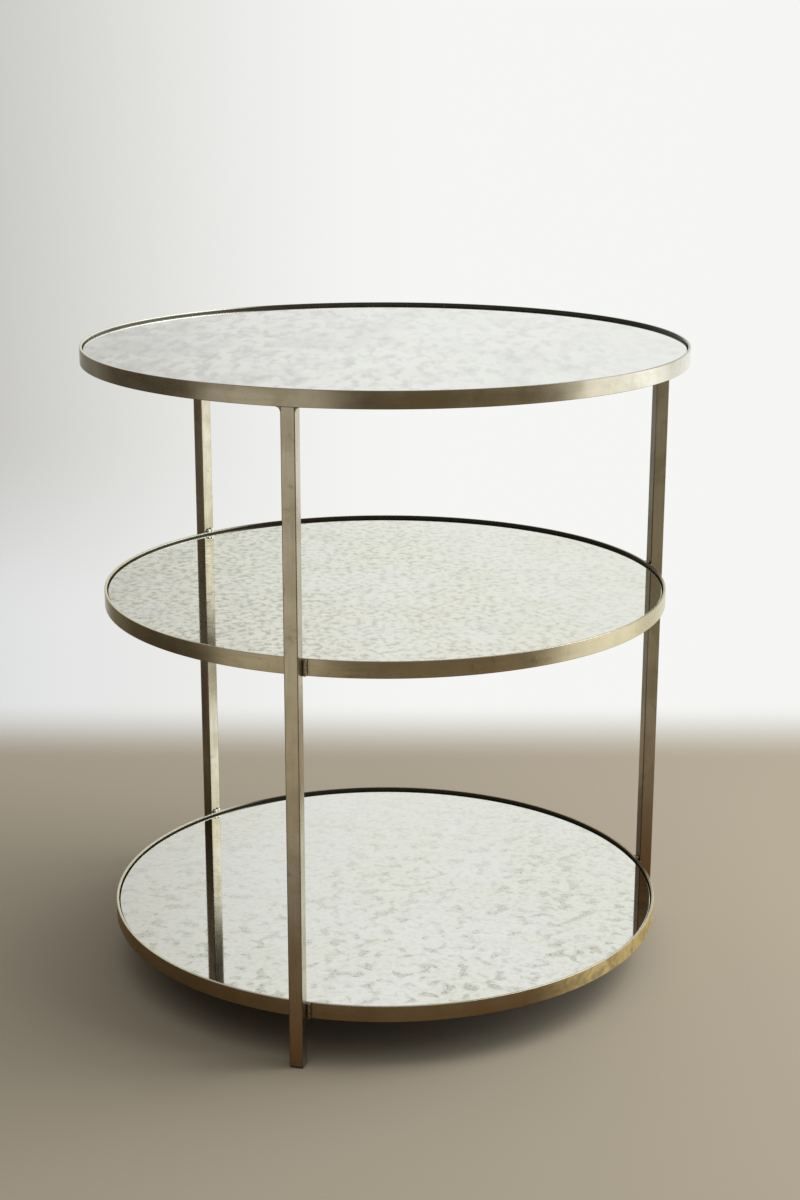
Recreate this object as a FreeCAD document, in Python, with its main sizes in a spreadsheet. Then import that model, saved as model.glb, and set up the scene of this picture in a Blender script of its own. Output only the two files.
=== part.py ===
"""Three-tier round side table: rolled flat-bar rims, antiqued mirror shelves and three square legs.

The table stands on Z = 0 with its axis on Z, and -Y is its front. Lengths are in millimetres.
The middle and bottom rims sit inside the legs and are bridged to them by weld beads; the top rim
sits on the leg ends, flush with their outer faces.
"""

import FreeCAD, Part
import math
import os
import Sketcher

DOCUMENT_NAME = "TieredSideTable"
SHEET_NAME = "sizes"
LEG_NAMES = ("front_leg", "right_leg", "left_leg")
GLIDE_NAMES = ("front_glide", "right_glide", "left_glide")

# Driving dimensions: millimetres, degrees or plain counts.
DRIVING_SIZES = {
    "overall_height": 762.0,
    "top_diameter": 711.0,
    "middle_tier_height": 472.0,
    "bottom_tier_height": 73.0,
    "rim_depth": 19.0,
    "rim_thickness": 3.0,
    "leg_side": 16.0,
    "leg_wall": 1.5,
    "leg_corner_round": 1.2,
    "leg_standoff": 2.0,
    "front_leg_angle": -106.0,
    "glide_inset": 0.4,
    "glide_thickness": 2.5,
    "glide_edge_bevel": 0.8,
    "glide_plug_depth": 12.0,
    "glide_plug_clearance": 0.1,
    "mirror_recess": 3.5,
    "mirror_thickness": 5.0,
    "mirror_arris": 1.0,
    "mirror_edge_gap": 0.5,
    "tab_length": 26.0,
    "tab_width": 30.0,
    "tab_thickness": 3.0,
    "tab_corner_cut": 5.0,
    "board_edge_gap": 1.0,
    "screw_head_width": 7.0,
    "screw_head_height": 2.8,
    "screw_shank_diameter": 4.0,
    "screw_shank_length": 9.0,
    "screw_clearance": 0.05,
    "top_fillet_reach": 4.8,
    "bead_reach_on_rim": 6.5,
    "bead_reach_on_leg": 3.5,
    "bead_crown": 4.3,
    "bead_overrun": 1.0,
    "bead_ripple_count": 5,
    "bead_ripple_bevel": 1.1,
}


class Size:
    """A size as a number for drawing and as an expression that ties it to the sheet."""

    def __init__(self, number, text):
        self.number = number
        self.text = text

    @staticmethod
    def of(value):
        """Return value as a Size; a bare number is its own expression."""
        return value if isinstance(value, Size) else Size(value, str(value))

    def __add__(self, other):
        other = Size.of(other)
        return Size(self.number + other.number, f"({self.text} + {other.text})")

    def __sub__(self, other):
        other = Size.of(other)
        return Size(self.number - other.number, f"({self.text} - {other.text})")

    def __mul__(self, other):
        other = Size.of(other)
        return Size(self.number * other.number, f"({self.text} * {other.text})")

    def __truediv__(self, other):
        other = Size.of(other)
        return Size(self.number / other.number, f"({self.text} / {other.text})")

    def __neg__(self):
        return Size(-self.number, f"(-{self.text})")

    def across(self, half_chord):
        """Distance from the centre of a circle of this radius to the middle of a chord."""
        number = math.sqrt(self.number**2 - half_chord.number**2)
        return Size(number, f"sqrt({self.text}^2 - {half_chord.text}^2)")


class Arc:
    """A round stretch of a profile: its radius and the way it turns from its first corner."""

    def __init__(self, radius, counter_clockwise):
        self.radius = radius
        self.counter_clockwise = counter_clockwise

    def curve(self, start, end):
        """Return the circular arc that joins two points by the shorter way round."""
        chord = end - start
        middle = (start + end) * 0.5
        sideways = FreeCAD.Vector(-chord.y, chord.x, 0).normalize()
        turn = 1 if self.counter_clockwise else -1
        depth = math.sqrt(self.radius.number**2 - (chord.Length / 2) ** 2)
        centre = middle + sideways * depth * turn
        first, last = (start, end) if self.counter_clockwise else (end, start)
        circle = Part.Circle(centre, FreeCAD.Vector(0, 0, 1), self.radius.number)
        angles = [math.atan2(point.y - centre.y, point.x - centre.x) for point in (first, last)]
        return Part.ArcOfCircle(circle, angles[0], angles[1])


document = FreeCAD.newDocument(DOCUMENT_NAME)
sheet = document.addObject("Spreadsheet::Sheet", SHEET_NAME)


def write_sheet():
    """Fill the sheet, one named size a row, and return the sizes by name."""
    for row, (name, value) in enumerate(DRIVING_SIZES.items(), start=1):
        sheet.set(f"A{row}", name)
        sheet.set(f"B{row}", str(value))
        sheet.setAlias(f"B{row}", name)
    document.recompute()
    return {name: Size(value, f"{SHEET_NAME}.{name}") for name, value in DRIVING_SIZES.items()}


size = write_sheet()
ZERO = Size(0.0, "0")

top_rim_radius = size["top_diameter"] / 2
leg_inner_face = top_rim_radius - size["leg_side"]
lower_rim_radius = leg_inner_face - size["leg_standoff"]
half_leg = size["leg_side"] / 2
leg_top = size["overall_height"] - size["rim_depth"]
leg_count = Size.of(len(LEG_NAMES))
tab_count = leg_count * 2
leg_spacing_angle = Size.of(360) / leg_count
first_screw_angle = size["front_leg_angle"] + leg_spacing_angle / 2
screw_shank_radius = size["screw_shank_diameter"] / 2
screw_hole_radius = screw_shank_radius + size["screw_clearance"]


class Tier:
    """One shelf: the radius of its rim and the heights of what it holds."""

    def __init__(self, name, rim_radius, rim_top):
        self.name = name
        self.rim_radius = rim_radius
        self.rim_top = rim_top
        self.rim_inner = rim_radius - size["rim_thickness"]
        self.rim_bottom = rim_top - size["rim_depth"]
        self.tab_top = self.rim_bottom + size["tab_thickness"]
        self.tab_end = self.rim_inner - size["tab_length"]
        self.mirror_top = rim_top - size["mirror_recess"]
        self.board_top = self.mirror_top - size["mirror_thickness"]
        self.mirror_radius = self.rim_inner - size["mirror_edge_gap"]
        self.board_radius = self.rim_inner - size["board_edge_gap"]
        self.screw_radius = self.rim_inner - size["tab_length"] / 2


TOP = Tier("top", top_rim_radius, size["overall_height"])
MIDDLE = Tier("middle", lower_rim_radius, size["middle_tier_height"])
BOTTOM = Tier("bottom", lower_rim_radius, size["bottom_tier_height"])


def add_body(label, turn=ZERO):
    """Start a sub-part, drawn along +X and turned about the table's axis by an angle."""
    body = document.addObject("PartDesign::Body", label)
    body.Label = label
    body.AllowCompound = True
    body.Placement = FreeCAD.Placement(FreeCAD.Vector(), FreeCAD.Rotation(FreeCAD.Vector(0, 0, 1), turn.number))
    if turn is not ZERO:
        body.setExpression("Placement.Rotation.Angle", turn.text)
    return body


def origin_feature(body, role):
    """Return the plane or axis of the body's own origin that has this role."""
    return next(feature for feature in body.Origin.OriginFeatures if feature.Role == role)


def add_sketch(body, name, role, offset=None):
    """Add a sketch on an origin plane, moved by offset sizes along the plane's own x, y and z."""
    sketch = body.newObject("Sketcher::SketchObject", name)
    sketch.AttachmentSupport = [(origin_feature(body, role), "")]
    sketch.MapMode = "FlatFace"
    for axis, distance in (offset or {}).items():
        sketch.setExpression(f"AttachmentOffset.Base.{axis}", distance.text)
    return sketch


def fix_point(sketch, curve, end, kind, distance):
    """Hold one coordinate of a curve's end at a size measured from the sketch's origin."""
    if distance is ZERO:
        axis = -2 if kind == "DistanceX" else -1
        sketch.addConstraint(Sketcher.Constraint("PointOnObject", curve, end, axis))
        return
    if distance.number >= 0:
        constraint = Sketcher.Constraint(kind, -1, 1, curve, end, distance.number)
        text = distance.text
    else:
        constraint = Sketcher.Constraint(kind, curve, end, -1, 1, -distance.number)
        text = f"-{distance.text}"
    index = sketch.addConstraint(constraint)
    sketch.setExpression(f"Constraints[{index}]", text)


def draw_profile(sketch, corners, arcs=None):
    """Draw a closed outline through corners given as pairs of sizes and hold each one.

    arcs maps the number of a side, counted from the first corner, to the Arc that it follows.
    """
    arcs = arcs or {}
    points = [FreeCAD.Vector(x.number, y.number, 0) for x, y in corners]
    ends = []
    for side, start in enumerate(points):
        end = points[(side + 1) % len(points)]
        arc = arcs.get(side)
        if arc:
            curve = sketch.addGeometry(arc.curve(start, end), False)
            radius = sketch.addConstraint(Sketcher.Constraint("Radius", curve, arc.radius.number))
            sketch.setExpression(f"Constraints[{radius}]", arc.radius.text)
        else:
            curve = sketch.addGeometry(Part.LineSegment(start, end), False)
        forwards = arc is None or arc.counter_clockwise
        ends.append((curve, 1, 2) if forwards else (curve, 2, 1))
    for side, (curve, first, _) in enumerate(ends):
        before, _, last = ends[side - 1]
        sketch.addConstraint(Sketcher.Constraint("Coincident", before, last, curve, first))
        x, y = corners[side]
        fix_point(sketch, curve, first, "DistanceX", x)
        fix_point(sketch, curve, first, "DistanceY", y)


def rectangle(low_x, high_x, low_y, high_y):
    """Return the four corners of a rectangle, counter-clockwise."""
    return [(low_x, low_y), (high_x, low_y), (high_x, high_y), (low_x, high_y)]


def add_pad(body, name, sketch, length):
    """Extrude a sketch by a size along its normal."""
    pad = body.newObject("PartDesign::Pad", name)
    pad.Profile = sketch
    pad.setExpression("Length", length.text)
    document.recompute()
    return pad


def add_turning(body, name, sketch, kind="PartDesign::Revolution"):
    """Turn a sketch once round its own upright axis, adding or cutting by kind."""
    turning = body.newObject(kind, name)
    turning.Profile = sketch
    turning.ReferenceAxis = (sketch, ["V_Axis"])
    turning.Angle = 360
    document.recompute()
    return turning


def add_groove(body, name, sketch):
    """Cut a turned groove and make sure that it took material away."""
    before = body.Shape.Volume
    groove = add_turning(body, name, sketch, "PartDesign::Groove")
    if groove.Shape.Volume >= before:
        raise RuntimeError(f"{body.Label}: {name} cut nothing")
    return groove


def dress_edges(body, kind, sized_by, name, amount, wanted):
    """Dress the edges of the body's last feature that the test picks out."""
    last = body.Tip
    picked = [f"Edge{number}" for number, edge in enumerate(last.Shape.Edges, start=1) if wanted(edge)]
    dressing = body.newObject(kind, name)
    dressing.Base = (last, picked)
    dressing.setExpression(sized_by, amount.text)
    document.recompute()


def round_edges(body, name, radius, wanted):
    """Round the wanted edges of the body's last feature."""
    dress_edges(body, "PartDesign::Fillet", "Radius", name, radius, wanted)


def bevel_edges(body, name, width, wanted):
    """Bevel the wanted edges of the body's last feature."""
    dress_edges(body, "PartDesign::Chamfer", "Size", name, width, wanted)


def repeat(body, pattern, count, features=None):
    """Let a pattern repeat features, or all that the body holds so far, and keep the result."""
    if features:
        pattern.Originals = features
    else:
        pattern.TransformMode = "Whole shape"
    pattern.setExpression("Occurrences", count.text)
    body.Tip = pattern
    document.recompute()


def repeat_round_axis(body, name, count, features=None):
    """Repeat features, or the whole body, evenly round the table's axis."""
    pattern = body.newObject("PartDesign::PolarPattern", name)
    pattern.Axis = (origin_feature(body, "Z_Axis"), [""])
    pattern.Angle = 360
    repeat(body, pattern, count, features)


def repeat_upwards(body, name, count, length):
    """Repeat the whole body upwards, the last copy a length above the first."""
    pattern = body.newObject("PartDesign::LinearPattern", name)
    pattern.Direction = (origin_feature(body, "Z_Axis"), [""])
    pattern.setExpression("Length", length.text)
    repeat(body, pattern, count)


def is_upright(edge):
    """Tell whether an edge is straight and vertical."""
    box = edge.BoundBox
    return isinstance(edge.Curve, Part.Line) and box.ZLength > max(box.XLength, box.YLength)


def make_rim(tier):
    """Flat bar rolled on edge into a hoop."""
    body = add_body(f"{tier.name}_rim")
    section = add_sketch(body, f"{tier.name}_rim_section", "XZ_Plane")
    draw_profile(section, rectangle(tier.rim_inner, tier.rim_radius, tier.rim_bottom, tier.rim_top))
    add_turning(body, f"{tier.name}_rim_hoop", section)
    return body


def make_tabs(tier):
    """Flat tabs welded inside the foot of the rim: plain at the legs, drilled midway between them."""
    body = add_body(f"{tier.name}_tabs", first_screw_angle)
    plan = add_sketch(body, f"{tier.name}_tab_plan", "XY_Plane", {"z": tier.rim_bottom})
    half_tab = size["tab_width"] / 2
    rim_face = tier.rim_inner.across(half_tab)
    cut_side = tier.tab_end + size["tab_corner_cut"]
    cut_end = half_tab - size["tab_corner_cut"]
    draw_profile(
        plan,
        [
            (rim_face, -half_tab),
            (rim_face, half_tab),
            (cut_side, half_tab),
            (tier.tab_end, cut_end),
            (tier.tab_end, -cut_end),
            (cut_side, -half_tab),
        ],
        {0: Arc(tier.rim_inner, counter_clockwise=True)},
    )
    tab = add_pad(body, f"{tier.name}_tab", plan, size["tab_thickness"])
    repeat_round_axis(body, f"{tier.name}_tab_ring", tab_count, [tab])
    hole = add_sketch(body, f"{tier.name}_tab_hole_section", "XZ_Plane", {"x": tier.screw_radius})
    draw_profile(hole, rectangle(ZERO, screw_hole_radius, tier.rim_bottom, tier.tab_top))
    groove = add_groove(body, f"{tier.name}_tab_hole", hole)
    repeat_round_axis(body, f"{tier.name}_tab_holes", leg_count, [groove])
    return body


def make_board(tier):
    """Backing board that carries the mirror, with blind holes for the screws."""
    body = add_body(f"{tier.name}_board", first_screw_angle)
    section = add_sketch(body, f"{tier.name}_board_section", "XZ_Plane")
    draw_profile(section, rectangle(ZERO, tier.board_radius, tier.tab_top, tier.board_top))
    add_turning(body, f"{tier.name}_board_disc", section)
    hole = add_sketch(body, f"{tier.name}_board_hole_section", "XZ_Plane", {"x": tier.screw_radius})
    hole_top = tier.rim_bottom + size["screw_shank_length"] + size["screw_clearance"]
    draw_profile(hole, rectangle(ZERO, screw_hole_radius, tier.tab_top, hole_top))
    groove = add_groove(body, f"{tier.name}_board_hole", hole)
    repeat_round_axis(body, f"{tier.name}_board_holes", leg_count, [groove])
    return body


def make_mirror(tier):
    """Round mirror plate with a polished arris round its face."""
    body = add_body(f"{tier.name}_mirror")
    section = add_sketch(body, f"{tier.name}_mirror_section", "XZ_Plane")
    arris = size["mirror_arris"]
    flat_radius = tier.mirror_radius - arris
    draw_profile(
        section,
        [
            (ZERO, tier.board_top),
            (tier.mirror_radius, tier.board_top),
            (tier.mirror_radius, tier.mirror_top - arris),
            (flat_radius, tier.mirror_top),
            (ZERO, tier.mirror_top),
        ],
    )
    add_turning(body, f"{tier.name}_mirror_plate", section)
    return body


def make_board_screws(tier):
    """Hexagon-head screws driven up through the drilled tabs into the board."""
    body = add_body(f"{tier.name}_board_screws", first_screw_angle)
    head_bottom = tier.rim_bottom - size["screw_head_height"]
    plan = add_sketch(
        body, f"{tier.name}_screw_head_plan", "XY_Plane", {"x": tier.screw_radius, "z": head_bottom}
    )
    flat = size["screw_head_width"] / 2
    corner = size["screw_head_width"] / Size(math.sqrt(3), "sqrt(3)")
    half_side = corner / 2
    draw_profile(
        plan,
        [
            (corner, ZERO),
            (half_side, flat),
            (-half_side, flat),
            (-corner, ZERO),
            (-half_side, -flat),
            (half_side, -flat),
        ],
    )
    head = add_pad(body, f"{tier.name}_screw_head", plan, size["screw_head_height"])
    section = add_sketch(body, f"{tier.name}_screw_section", "XZ_Plane", {"x": tier.screw_radius})
    tip = tier.rim_bottom + size["screw_shank_length"]
    draw_profile(section, rectangle(ZERO, screw_shank_radius, tier.rim_bottom, tip))
    shank = add_turning(body, f"{tier.name}_screw_shank", section)
    repeat_round_axis(body, f"{tier.name}_screw_ring", leg_count, [head, shank])
    return body


def make_leg(name, turn):
    """Square tube that stands on its glide and butts under the top rim and its tab."""
    body = add_body(name, turn)
    section = add_sketch(body, f"{name}_section", "XY_Plane", {"z": size["glide_thickness"]})
    wall = size["leg_wall"]
    draw_profile(section, rectangle(leg_inner_face, top_rim_radius, -half_leg, half_leg))
    bore = half_leg - wall
    draw_profile(section, rectangle(leg_inner_face + wall, top_rim_radius - wall, -bore, bore))
    add_pad(body, f"{name}_tube", section, leg_top - size["glide_thickness"])
    outer_corner = half_leg.number - wall.number / 2

    def is_outer_corner(edge):
        return is_upright(edge) and abs(edge.BoundBox.Center.y) > outer_corner

    round_edges(body, f"{name}_corners", size["leg_corner_round"], is_outer_corner)
    return body


def make_glide(name, turn):
    """Moulded glide: a bevelled foot plate and a plug that fits inside the tube."""
    body = add_body(name, turn)

    def draw_square(part, inset, height):
        sketch = add_sketch(body, f"{name}_{part}_section", "XY_Plane", {"z": height})
        half = half_leg - inset
        draw_profile(sketch, rectangle(leg_inner_face + inset, top_rim_radius - inset, -half, half))
        return sketch

    def is_underneath(edge):
        return edge.BoundBox.ZMax < size["glide_thickness"].number / 2

    foot = draw_square("plate", size["glide_inset"], ZERO)
    add_pad(body, f"{name}_plate", foot, size["glide_thickness"])
    bevel_edges(body, f"{name}_underside", size["glide_edge_bevel"], is_underneath)
    inside = draw_square("plug", size["leg_wall"] + size["glide_plug_clearance"], size["glide_thickness"])
    add_pad(body, f"{name}_plug", inside, size["glide_plug_depth"])
    return body


def make_top_welds(tier):
    """Ground fillets on both sides of each leg, in the plane of the rim that stands on it."""
    body = add_body(f"{tier.name}_leg_welds", size["front_leg_angle"])
    outline = add_sketch(body, f"{tier.name}_weld_outline", "YZ_Plane", {"z": tier.rim_inner})
    reach = size["top_fillet_reach"]
    foot = tier.rim_bottom - reach
    for side in (1, -1):
        leg_face = half_leg if side == 1 else -half_leg
        far = leg_face + reach if side == 1 else leg_face - reach
        corners = [(leg_face, tier.rim_bottom), (leg_face, foot), (far, tier.rim_bottom)]
        draw_profile(outline, corners, {1: Arc(reach, counter_clockwise=side == -1)})
    fillets = add_pad(body, f"{tier.name}_weld_fillets", outline, size["rim_thickness"])
    ground = add_sketch(body, f"{tier.name}_weld_grinding", "XZ_Plane")
    outside = tier.rim_radius + size["rim_thickness"]
    draw_profile(ground, rectangle(tier.rim_radius, outside, foot, tier.rim_bottom))
    repeat_round_axis(body, f"{tier.name}_weld_ring", leg_count, [fillets])
    add_groove(body, f"{tier.name}_weld_face", ground)
    return body


def make_bridging_welds(tier):
    """Rippled beads that bridge the gap from a lower rim to each leg and wrap its corners."""
    body = add_body(f"{tier.name}_leg_welds", size["front_leg_angle"])
    run = size["rim_depth"] + size["bead_overrun"] * 2
    ripple = run / size["bead_ripple_count"]
    plan = add_sketch(body, f"{tier.name}_bead_plan", "XY_Plane", {"z": tier.rim_bottom - size["bead_overrun"]})
    toe = half_leg + size["bead_reach_on_rim"]
    crown = half_leg + size["bead_crown"]
    rim_face = tier.rim_radius.across(toe)
    leg_side_end = leg_inner_face + size["bead_reach_on_leg"]
    draw_profile(
        plan,
        [
            (rim_face, toe),
            (rim_face, -toe),
            (leg_inner_face, -crown),
            (leg_side_end, -half_leg),
            (leg_inner_face, -half_leg),
            (leg_inner_face, half_leg),
            (leg_side_end, half_leg),
            (leg_inner_face, crown),
        ],
        {0: Arc(tier.rim_radius, counter_clockwise=False)},
    )
    add_pad(body, f"{tier.name}_bead_ripple", plan, ripple)
    leg_side = half_leg.number + size["bead_ripple_bevel"].number

    def is_on_bead_face(edge):
        box = edge.BoundBox
        return box.ZLength < 0.01 and isinstance(edge.Curve, Part.Line) and abs(box.Center.y) > leg_side

    bevel_edges(body, f"{tier.name}_bead_crests", size["bead_ripple_bevel"], is_on_bead_face)
    repeat_upwards(body, f"{tier.name}_bead_stack", size["bead_ripple_count"], run - ripple)
    repeat_round_axis(body, f"{tier.name}_bead_ring", leg_count)
    return body


def check_document(bodies):
    """Stop if any feature failed or any sub-part's shape is missing or invalid."""
    failed = [item.Name for item in document.Objects if {"Invalid", "Error"} & set(item.State)]
    if failed:
        raise RuntimeError("failed features: " + ", ".join(failed))
    for body in bodies:
        if body.Shape.isNull() or not body.Shape.isValid() or not body.Shape.Solids:
            raise RuntimeError(f"{body.Label} has no valid solid")


def main():
    """Build every sub-part, check the document and write one STEP file for each."""
    bodies = []
    for tier in (TOP, MIDDLE, BOTTOM):
        bodies += [make_rim(tier), make_tabs(tier), make_board(tier), make_mirror(tier)]
        bodies.append(make_board_screws(tier))
    turn = size["front_leg_angle"]
    for leg_name, glide_name in zip(LEG_NAMES, GLIDE_NAMES):
        bodies += [make_leg(leg_name, turn), make_glide(glide_name, turn)]
        turn = turn + leg_spacing_angle
    bodies.append(make_top_welds(TOP))
    bodies += [make_bridging_welds(tier) for tier in (MIDDLE, BOTTOM)]
    document.recompute()
    check_document(bodies)
    os.makedirs("parts", exist_ok=True)
    for body in bodies:
        body.Shape.exportStep(f"parts/{body.Label}.step")
        print(f"{body.Label}: {len(body.Shape.Solids)} solid(s), {body.Shape.Volume / 1000:.1f} cm3")


main()
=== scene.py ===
"""Looks of a round three-tier side table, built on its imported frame.

Lengths are in metres, angles in radians unless a name says degrees, and colours are linear RGB.
The table stands on Z = 0 with its axis on Z, and -Y is its front.
"""

import logging
import math
from collections.abc import Sequence
from dataclasses import dataclass
from enum import Enum

import bmesh
import bpy
from mathutils import Matrix, Vector


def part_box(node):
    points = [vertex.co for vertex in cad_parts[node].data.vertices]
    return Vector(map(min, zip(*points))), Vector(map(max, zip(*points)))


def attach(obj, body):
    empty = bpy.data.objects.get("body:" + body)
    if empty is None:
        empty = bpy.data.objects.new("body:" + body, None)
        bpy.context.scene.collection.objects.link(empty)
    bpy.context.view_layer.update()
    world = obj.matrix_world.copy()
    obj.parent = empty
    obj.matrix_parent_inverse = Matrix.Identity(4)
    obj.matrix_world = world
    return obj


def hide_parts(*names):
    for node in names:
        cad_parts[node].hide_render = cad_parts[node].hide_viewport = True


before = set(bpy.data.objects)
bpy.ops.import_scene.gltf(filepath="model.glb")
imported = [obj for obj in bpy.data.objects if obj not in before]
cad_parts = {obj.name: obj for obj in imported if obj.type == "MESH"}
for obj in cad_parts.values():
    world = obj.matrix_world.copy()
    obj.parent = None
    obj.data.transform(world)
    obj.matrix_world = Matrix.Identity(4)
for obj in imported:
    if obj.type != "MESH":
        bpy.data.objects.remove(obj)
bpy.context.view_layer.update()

BODY = "root"
MILLIMETRE = 0.001
LARGE_FACES_LEAD = 100
NOT_QUITE_ZERO = 0.001
NOT_QUITE_ONE = 0.99999

Colour = tuple[float, float, float]
Span = tuple[float, float]
Ring = list[Vector]
Verts = list[bmesh.types.BMVert]
Course = Sequence[tuple[float, float, float]]
Socket = bpy.types.NodeSocket
Material = bpy.types.Material
Mesh = bpy.types.Mesh
Piece = bpy.types.Object

log = logging.getLogger("side_table")


class Tier(Enum):
    """The three shelves, by the prefix of their nodes' names."""

    TOP = "top"
    MIDDLE = "middle"
    BOTTOM = "bottom"


class Stand(Enum):
    """The three legs, by the prefix of their nodes' names."""

    FRONT = "front"
    RIGHT = "right"
    LEFT = "left"


class Grain(Enum):
    """The way a bar's streaks run, as the share of each axis that its pattern keeps."""

    ROUND = (0.07, 0.07, 1.0)
    UPRIGHT = (1.0, 1.0, 0.05)
    NONE = (1.0, 1.0, 1.0)


# ---------------------------------------------------------------- frame readings


def node_mesh(node: str) -> Mesh:
    """Return the mesh of a node of the frame."""
    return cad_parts[node].data


def radial_span(node: str) -> tuple[float, float]:
    """Measure how near to and how far from the table's axis a node's vertices lie.

    Args:
        node: Name of the node.

    Returns:
        The least and the greatest distance from the axis.
    """
    distances = [vertex.co.xy.length for vertex in node_mesh(node).vertices]
    return min(distances), max(distances)


def leg_turn(stand: Stand) -> float:
    """Return the angle about the table's axis at which a leg stands."""
    low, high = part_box(f"{stand.value}_leg")
    middle = (low + high) / 2
    return math.atan2(middle.y, middle.x)


@dataclass(frozen=True)
class Footprint:
    """The square that a leg or its glide covers, measured in the leg's own axes."""

    inner: float
    outer: float
    half: float
    turn: float

    @staticmethod
    def of(stand: Stand, part: str) -> "Footprint":
        """Measure a part of a stand.

        Args:
            stand: The leg.
            part: "leg" or "glide".

        Returns:
            Its nearest and farthest distance from the table's axis, half its width and its turn.
        """
        turn = leg_turn(stand)
        back = Matrix.Rotation(-turn, 2)
        places = [back @ vertex.co.xy for vertex in node_mesh(f"{stand.value}_{part}").vertices]
        out = [place.x for place in places]
        return Footprint(min(out), max(out), max(abs(place.y) for place in places), turn)

    def place(self) -> Matrix:
        """Return the transform that takes a shape drawn about the origin to the leg's middle."""
        middle = (self.inner + self.outer) / 2
        return Matrix.Rotation(self.turn, 4, "Z") @ Matrix.Translation((middle, 0, 0))


# ---------------------------------------------------------------- node graphs


class Graph:
    """A node tree under construction: nodes are added, set and linked in one call."""

    def __init__(self, tree: bpy.types.NodeTree) -> None:
        """Take the tree that nodes are added to."""
        self.tree = tree

    def add(self, kind: str, inputs: dict | None = None, **settings: object) -> bpy.types.Node:
        """Add a node.

        Args:
            kind: The node's type name.
            inputs: Sockets to link and values to set, by the input's name or number.
            **settings: Properties of the node itself.

        Returns:
            The new node.
        """
        node = self.tree.nodes.new(kind)
        for name, value in settings.items():
            setattr(node, name, value)
        for key, value in (inputs or {}).items():
            if isinstance(value, Socket):
                self.tree.links.new(value, node.inputs[key])
            else:
                node.inputs[key].default_value = value
        return node

    def math(self, operation: str, *values: object, use_clamp: bool = False) -> Socket:
        """Return the result of a Math node on numbers or sockets, held between 0 and 1 if asked."""
        inputs = dict(enumerate(values))
        return self.add("ShaderNodeMath", inputs, operation=operation, use_clamp=use_clamp).outputs[0]

    def times(self, first: object, *others: object) -> Socket:
        """Return the product of numbers and sockets, at least one of them a socket."""
        for other in others:
            first = self.math("MULTIPLY", first, other)
        return first

    def axes(self, vector: Socket) -> Sequence[Socket]:
        """Return the x, y and z of a vector."""
        return self.add("ShaderNodeSeparateXYZ", {0: vector}).outputs

    def from_axis(self, axes: Sequence[Socket]) -> Socket:
        """Return the length of the level part of a vector, from its x and y."""
        squares = [self.math("POWER", axis, 2.0) for axis in axes[:2]]
        return self.math("SQRT", self.math("ADD", *squares))

    def scaled(self, vector: Socket, factors: Sequence[float]) -> Socket:
        """Return a vector with each axis multiplied by its own factor."""
        node = self.add("ShaderNodeVectorMath", {0: vector, 1: tuple(factors)}, operation="MULTIPLY")
        return node.outputs[0]

    def moved(self, vector: Socket, offset: object) -> Socket:
        """Return a vector with an offset added."""
        node = self.add("ShaderNodeVectorMath", {0: vector, 1: offset}, operation="ADD")
        return node.outputs[0]

    def ease(self, value: Socket, low: float, high: float) -> Socket:
        """Return 0 where value is at low and 1 where it is at high, with a smooth step between."""
        inputs = {"Value": value, "From Min": low, "From Max": high}
        node = self.add("ShaderNodeMapRange", inputs, interpolation_type="SMOOTHSTEP")
        return node.outputs["Result"]

    def spread(self, value: Socket, low: float, high: float, to_low: float, to_high: float) -> Socket:
        """Map value from low..high to to_low..to_high in a straight line, held at both ends."""
        ends = {"From Min": low, "From Max": high, "To Min": to_low, "To Max": to_high}
        return self.add("ShaderNodeMapRange", {"Value": value, **ends}).outputs["Result"]

    def blend(self, share: object, first: object, second: object, kind: str = "MIX") -> Socket:
        """Mix two colours.

        Args:
            share: How much of the second colour shows, from 0 to 1.
            first: The first colour, as a socket or linear RGB.
            second: The second colour, as a socket or linear RGB.
            kind: The blend type.

        Returns:
            The mixed colour.
        """
        colours = [(*c, 1.0) if isinstance(c, tuple) else c for c in (first, second)]
        node = self.add("ShaderNodeMix", {0: share, 6: colours[0], 7: colours[1]}, data_type="RGBA")
        node.blend_type = kind
        return node.outputs[2]

    def noise(
        self, vector: Socket, scale: float, detail: float = 2.0, rough: float = 0.5, warp: float = 0.0
    ) -> Socket:
        """Return a noise value of about 0.5 on average; scale is in cells per metre."""
        inputs = {"Vector": vector, "Scale": scale, "Detail": detail, "Roughness": rough}
        return self.add("ShaderNodeTexNoise", {**inputs, "Distortion": warp}).outputs[0]


class Surface(Graph):
    """A material under construction, with its shader and the piece's own coordinates."""

    def __init__(self, name: str) -> None:
        """Start a material with a Principled shader."""
        self.material = bpy.data.materials.new(name)
        self.material.use_nodes = True
        super().__init__(self.material.node_tree)
        self.shader = self.tree.nodes["Principled BSDF"]
        self.place = self.add("ShaderNodeTexCoord").outputs["Object"]

    def feed(self, **inputs: object) -> None:
        """Set or link inputs of the shader, with _ for each space in their names."""
        for name, value in inputs.items():
            socket = self.shader.inputs[name.replace("_", " ")]
            if isinstance(value, Socket):
                self.tree.links.new(value, socket)
            elif isinstance(value, tuple):
                socket.default_value = (*value, 1.0)
            else:
                socket.default_value = value

    def raise_by(self, height: Socket, strength: float, distance: float) -> None:
        """Let a height pattern bend the light.

        Args:
            height: The pattern, from 0 to 1.
            strength: How much of the effect shows.
            distance: The height, in metres, that a pattern value of 1 stands for.
        """
        inputs = {"Height": height, "Strength": strength, "Distance": distance}
        bump = self.add("ShaderNodeBump", inputs)
        self.tree.links.new(bump.outputs[0], self.shader.inputs["Normal"])


# ---------------------------------------------------------------- finishes


@dataclass(frozen=True)
class Finish:
    """What every finish has: a name, and a way to make its material."""

    name: str

    def make(self) -> Material:
        """Return the material."""
        s = Surface(self.name)
        self.paint(s)
        return s.material

    def paint(self, s: Surface) -> None:
        """Add the finish's own nodes to its material."""
        raise NotImplementedError


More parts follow.
